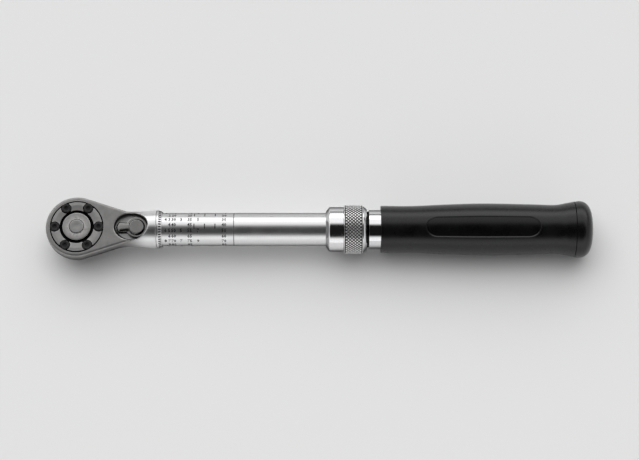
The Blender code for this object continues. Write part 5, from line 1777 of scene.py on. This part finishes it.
@dataclass
class Grip:
    """The moulded grip with its inlay, and the rounded end cap."""

    walls: tuple[tuple[float, float], ...] = (
        (0.0, 2.6), (0.015, 2.9), (0.16, 2.8), (0.36, 3.9), (0.54, 4.45), (0.78, 3.9), (0.9, 3.5), (0.96, 4.7),
        (1.0, 5.6),
    )
    cap_walls: tuple[tuple[float, float], ...] = (
        (0.0, 5.65), (0.3, 6.0), (0.58, 5.0), (0.82, 1.8), (0.95, -4.0), (1.0, -12.5),
    )
    slip: float = 0.2
    panel_start: float = 227.3
    panel_length: float = 73.6
    panel_width: float = 14.6
    panel_depth: float = 1.5
    panel_thickness: float = 0.7
    panel_turn: float = math.radians(10)
    panel_stations: int = 30
    bevel: float = 0.5
    reach: float = 6.0
    spigot: float = 10.8

    def __post_init__(self) -> None:
        """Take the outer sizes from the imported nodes."""
        self.space = Space.of("grip")
        self.cap_space = Space.of("end_cap")
        self.core = Space.of("handle_sleeve").radius

    def build(self) -> None:
        """Make the grip, its inlay and the end cap."""
        hand_over(self.moulding(), "handle", RUBBER, ["grip"])
        hand_over(self.inlay(), "handle", PANEL, ["grip_panel"])
        hand_over(self.end(), "handle", RUBBER, ["end_cap"])

    def curve(self, sunk: float = 0.0) -> list[tuple[float, float, float]]:
        """The grip's outline, or one that lies deeper, as points without rounding."""
        start, length = self.space.low.x, self.space.high.x - self.space.low.x
        points = [(start + share * length, self.core + wall) for share, wall in self.walls]
        return [(x, min(radius, self.space.radius) - sunk, 0) for x, radius in flowing(points, 12)]

    def outline(self, inset: float) -> list[tuple[float, float]]:
        """The inlay's outline laid flat: straight edges between round ends."""
        half = self.panel_width / 2 - inset
        left = self.panel_start + inset + half
        right = self.panel_start + self.panel_length - inset - half
        quarter = math.pi / 2
        edge = [(left + (right - left) * i / self.panel_stations, half) for i in range(1, self.panel_stations)]
        lower = [(x, -y) for x, y in edge]
        ends = arc(left, 0, half, quarter, 3 * quarter, 49), arc(right, 0, half, -quarter, quarter, 49)
        return [*ends[0], *lower, *ends[1], *reversed(edge)]

    def stadium(self, name: str, levels: Profile) -> bpy.types.Object:
        """A block in the place of the inlay, bent round the grip.

        Args:
            name: the object's name.
            levels: pairs of an inset from the inlay's outline and a depth under the grip's skin.

        Returns:
            The block.
        """
        curve = np.array(self.curve())
        middle = self.core + max(wall for _, wall in self.walls)
        sections = []
        for inset, depth in levels:
            section = []
            for x, across in self.outline(inset):
                out = np.interp(x, curve[:, 0], curve[:, 1]) - depth
                turn = across / middle - self.panel_turn
                section.append((x, out * math.sin(turn), out * math.cos(turn)))
            sections.append(section)
        return lofted(name, sections)

    def moulding(self) -> bpy.types.Object:
        """The grip with the bevelled recess for its inlay."""
        bore = self.core + self.slip
        start, end = self.space.low.x, self.space.high.x
        curve = self.curve()
        curve[0] = (*curve[0][:2], 0.2)
        curve[-1] = (*curve[-1][:2], 0.4)
        grip = turned("moulded_grip", [(start, bore), *curve, (end, bore)])
        top = self.panel_depth - self.slip - self.panel_thickness
        bevel = -self.bevel
        recess = self.stadium("recess", ((bevel, -self.reach), (bevel, 0.0), (0.0, top), (0.0, self.reach)))
        floor = turned("recess_floor", [(start, 0), *self.curve(self.panel_depth), (end, 0)])
        return carve(grip, Carve.CUT, carve(recess, Carve.CUT, floor))

    def inlay(self) -> bpy.types.Object:
        """The bare inlay that follows the grip's curve."""
        top = self.panel_depth - self.slip - self.panel_thickness
        outer = self.curve(top)
        inner = self.curve(top + self.panel_thickness)
        panel = self.stadium("inlay", ((self.slip, -self.reach), (self.slip, self.reach)))
        return carve(panel, Carve.KEEP, turned("inlay_shell", [*outer, *reversed(inner)]))

    def end(self) -> bpy.types.Object:
        """The end cap on its spigot."""
        start = self.space.high.x + 0.4
        length = self.cap_space.high.x - start
        dome = flowing([(start + share * length, self.core + wall) for share, wall in self.cap_walls], 10)
        dome = [(x, min(max(radius, 0.0), self.cap_space.radius), 0) for x, radius in dome]
        dome[0] = (*dome[0][:2], 0.5)
        dome[-1] = (self.cap_space.high.x, 0.0)
        low = self.cap_space.low.x
        return turned("end", [(low, 0), (low, self.spigot, 0.4), (start, self.spigot, 0), *dome])


@dataclass(frozen=True)
class Coil:
    """A wound spring, set on the body that carries it."""

    name: str
    node: str
    body: str
    joint: str
    travel: float
    wire: float
    turns: float
    axis: Axis = Axis.ALONG
    pushed_start: bool = False
    start_room: float = 0.0
    turn_points: int = 28
    wire_points: int = 12

    def build(self) -> None:
        """Wind the spring, and set it on its body with a mesh of its own."""
        space = Space.of(self.node)
        upright = self.axis is Axis.UP
        low = space.low.z if upright else space.low.x + self.start_room
        high = space.high.z if upright else space.high.x
        coil = hand_over(self.wound(low, high, space.radius - self.wire), self.body, SPRING_WIRE, [self.node])
        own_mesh(coil)

    def wound(self, low: float, high: float, radius: float) -> bpy.types.Object:
        """The wire, wound at an even pitch.

        Args:
            low: where the spring starts along its axis.
            high: where it ends.
            radius: from the axis to the middle of the wire.

        Returns:
            The spring.
        """
        count = round(self.turns * self.turn_points)
        pitch = (high - low - 2 * self.wire) / (2 * math.pi * self.turns)
        lean = math.atan2(pitch, radius)
        sections = []
        for step in range(count + 1):
            turn = 2 * math.pi * self.turns * step / count
            along = low + self.wire + pitch * turn
            section = []
            for a in angles(self.wire_points):
                out = radius + self.wire * math.cos(a)
                side = self.wire * math.sin(a)
                u = out * math.cos(turn) + side * math.sin(lean) * math.sin(turn)
                v = out * math.sin(turn) - side * math.sin(lean) * math.cos(turn)
                w = along + side * math.cos(lean)
                section.append((u, v, w - AXIS_HEIGHT) if self.axis is Axis.UP else (w, u, v))
            sections.append(section)
        return lofted(self.name, sections)


@dataclass
class Springs:
    """The springs that work with a joint."""

    coils: tuple[Coil, ...] = (
        Coil("button_coil", "button_spring", "drive", "button_press", 2.5, 0.35, 3.5, Axis.UP),
        Coil("main_coil", "main_spring", "tube", "seat_slide", 18.1, 1.3, 8, start_room=0.7),
        Coil("lock_coil", "lock_spring", "handle", "lock_slide", 3.0, 0.35, 2.5, pushed_start=True),
    )

    def build(self) -> None:
        """Make each spring."""
        for coil in self.coils:
            coil.build()


@dataclass
class InnerWorks:
    """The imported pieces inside, which keep their shapes and get their finishes."""

    finishes: tuple[tuple[Finish, tuple[str, ...]], ...] = (
        (STEEL, (
            "pawl", "pawl_plunger", "tilt_block", "plunger", "spring_seat", "thrust_ball", "nut_dowel",
            "adjusting_screw", "handle_plug", "handle_pin", "lock_ball_1", "lock_ball_2", "lock_ball_3",
        )),
        (SPRING_WIRE, ("pawl_spring", "spring_retainer")),
        (BRONZE, ("adjusting_nut",)),
    )

    def build(self) -> None:
        """Dress each piece."""
        for finish, nodes in self.finishes:
            for node in nodes:
                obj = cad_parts[node]
                for material_slot in obj.material_slots:
                    material_slot.link = "OBJECT"
                    material_slot.material = finish.material
                LOG.info("%s keeps its shape, in %s", node, finish.name)


@dataclass
class Studio:
    """The floor, the soft light and the camera."""

    floor_half: float = 6000.0
    floor_drop: float = 0.05
    target: Place = (158.0, -0.4, 18.5)
    elevation: float = math.radians(73)
    distance: float = 1300.0
    view_width: float = 417.5
    sensor: float = 36.0
    back_light: float = 1.1
    strip_light: float = 0.9
    front_light: float = 1.15
    front_fall: float = 0.4
    side_share: float = 0.5
    dark_light: float = 0.008
    dark_elevation: float = math.radians(66)
    dark_width: float = 0.66
    dark_height: float = 0.588
    key_energy: float = 1.75
    key_size: float = math.radians(64)
    key_way: Place = (-0.12, 0.3, 1.0)

    def build(self) -> None:
        """Set up the studio."""
        self.floor()
        self.sky()
        self.key_light()
        self.camera()
        bpy.context.scene.view_settings.view_transform = "Standard"

    def floor(self) -> None:
        """A wide sheet of pale paper."""
        bm = bmesh.new()
        half = self.floor_half
        corners = ((-half, -half), (half, -half), (half, half), (-half, half))
        bm.faces.new([bm.verts.new((x, y, -self.floor_drop)) for x, y in corners])
        sheet = to_object("studio_floor", bm)
        sheet.data.materials.append(PAPER.material)

    def sky(self) -> None:
        """Soft light from a wide white tent that is open, and so dark, round the camera."""
        world = bpy.data.worlds.new("studio_tent")
        bpy.context.scene.world = world
        world.use_nodes = True
        graph = Graph(world.node_tree)
        way = graph.node("ShaderNodeTexCoord", output="Generated")
        parts = graph.node("ShaderNodeSeparateXYZ", inputs={0: way})
        x, y, z = (parts.output(name) for name in "XYZ")
        up = y * math.sin(self.dark_elevation) + z * math.cos(self.dark_elevation)
        off = x * x * (1 / self.dark_width ** 2) + up * up * (1 / self.dark_height ** 2)
        open_part = 1 - off.ramp(0.6, 1.5)
        behind = y.ramp(0.2, 0.6)
        strip = behind * z.ramp(0.25, 0.42) * (1 - z.ramp(0.55, 0.75))
        front = self.front_light - z * self.front_fall
        back = self.back_light + strip * self.strip_light
        level = front + y.ramp(-0.3, 0.3) * (back - front)
        level = level * (1 - behind * (1 - z.ramp(0.1, 0.3)) * 0.8)
        level = level * (1 - (x * x).ramp(0.25, 0.8) * (1 - self.side_share))
        light = level * (1 - open_part) + open_part * self.dark_light
        background = world.node_tree.nodes["Background"]
        graph.feed(background.inputs["Color"], WHITE)
        graph.feed(background.inputs["Strength"], light)

    def key_light(self) -> None:
        """A soft lamp above and behind, which casts the shadow and leaves the metal to the tent."""
        lamp = bpy.data.lights.new("key_light", "SUN")
        lamp.energy = self.key_energy
        lamp.angle = self.key_size
        key = add_object("key_light", lamp)
        key.rotation_euler = Vector(self.key_way).to_track_quat("Z", "Y").to_euler()
        key.visible_glossy = False

    def camera(self) -> None:
        """The camera, at the photograph's angle."""
        lens = bpy.data.cameras.new("camera")
        lens.sensor_width = self.sensor
        lens.lens = self.sensor * self.distance / self.view_width
        lens.clip_end = 100.0
        camera = add_object("camera", lens)
        way = Vector((0, -math.cos(self.elevation), math.sin(self.elevation)))
        camera.location = (Vector(self.target) + way * self.distance) * MM
        camera.rotation_euler = way.to_track_quat("Z", "Y").to_euler()
        bpy.context.scene.camera = camera


def main() -> None:
    """Build the sub-assemblies in order, then the studio."""
    logging.basicConfig(level=logging.INFO, format="%(message)s")
    pattern = RingPattern()
    assemblies = (
        RatchetHead(pattern), SquareDrive(), ReversingLever(), ScaleTube(pattern), Thimble(),
        LockRing(pattern), Grip(), Springs(), InnerWorks(), Studio(),
    )
    for assembly in assemblies:
        assembly.build()
    bpy.data.node_groups.remove(pattern.tree)


if __name__ == "__main__":
    main()
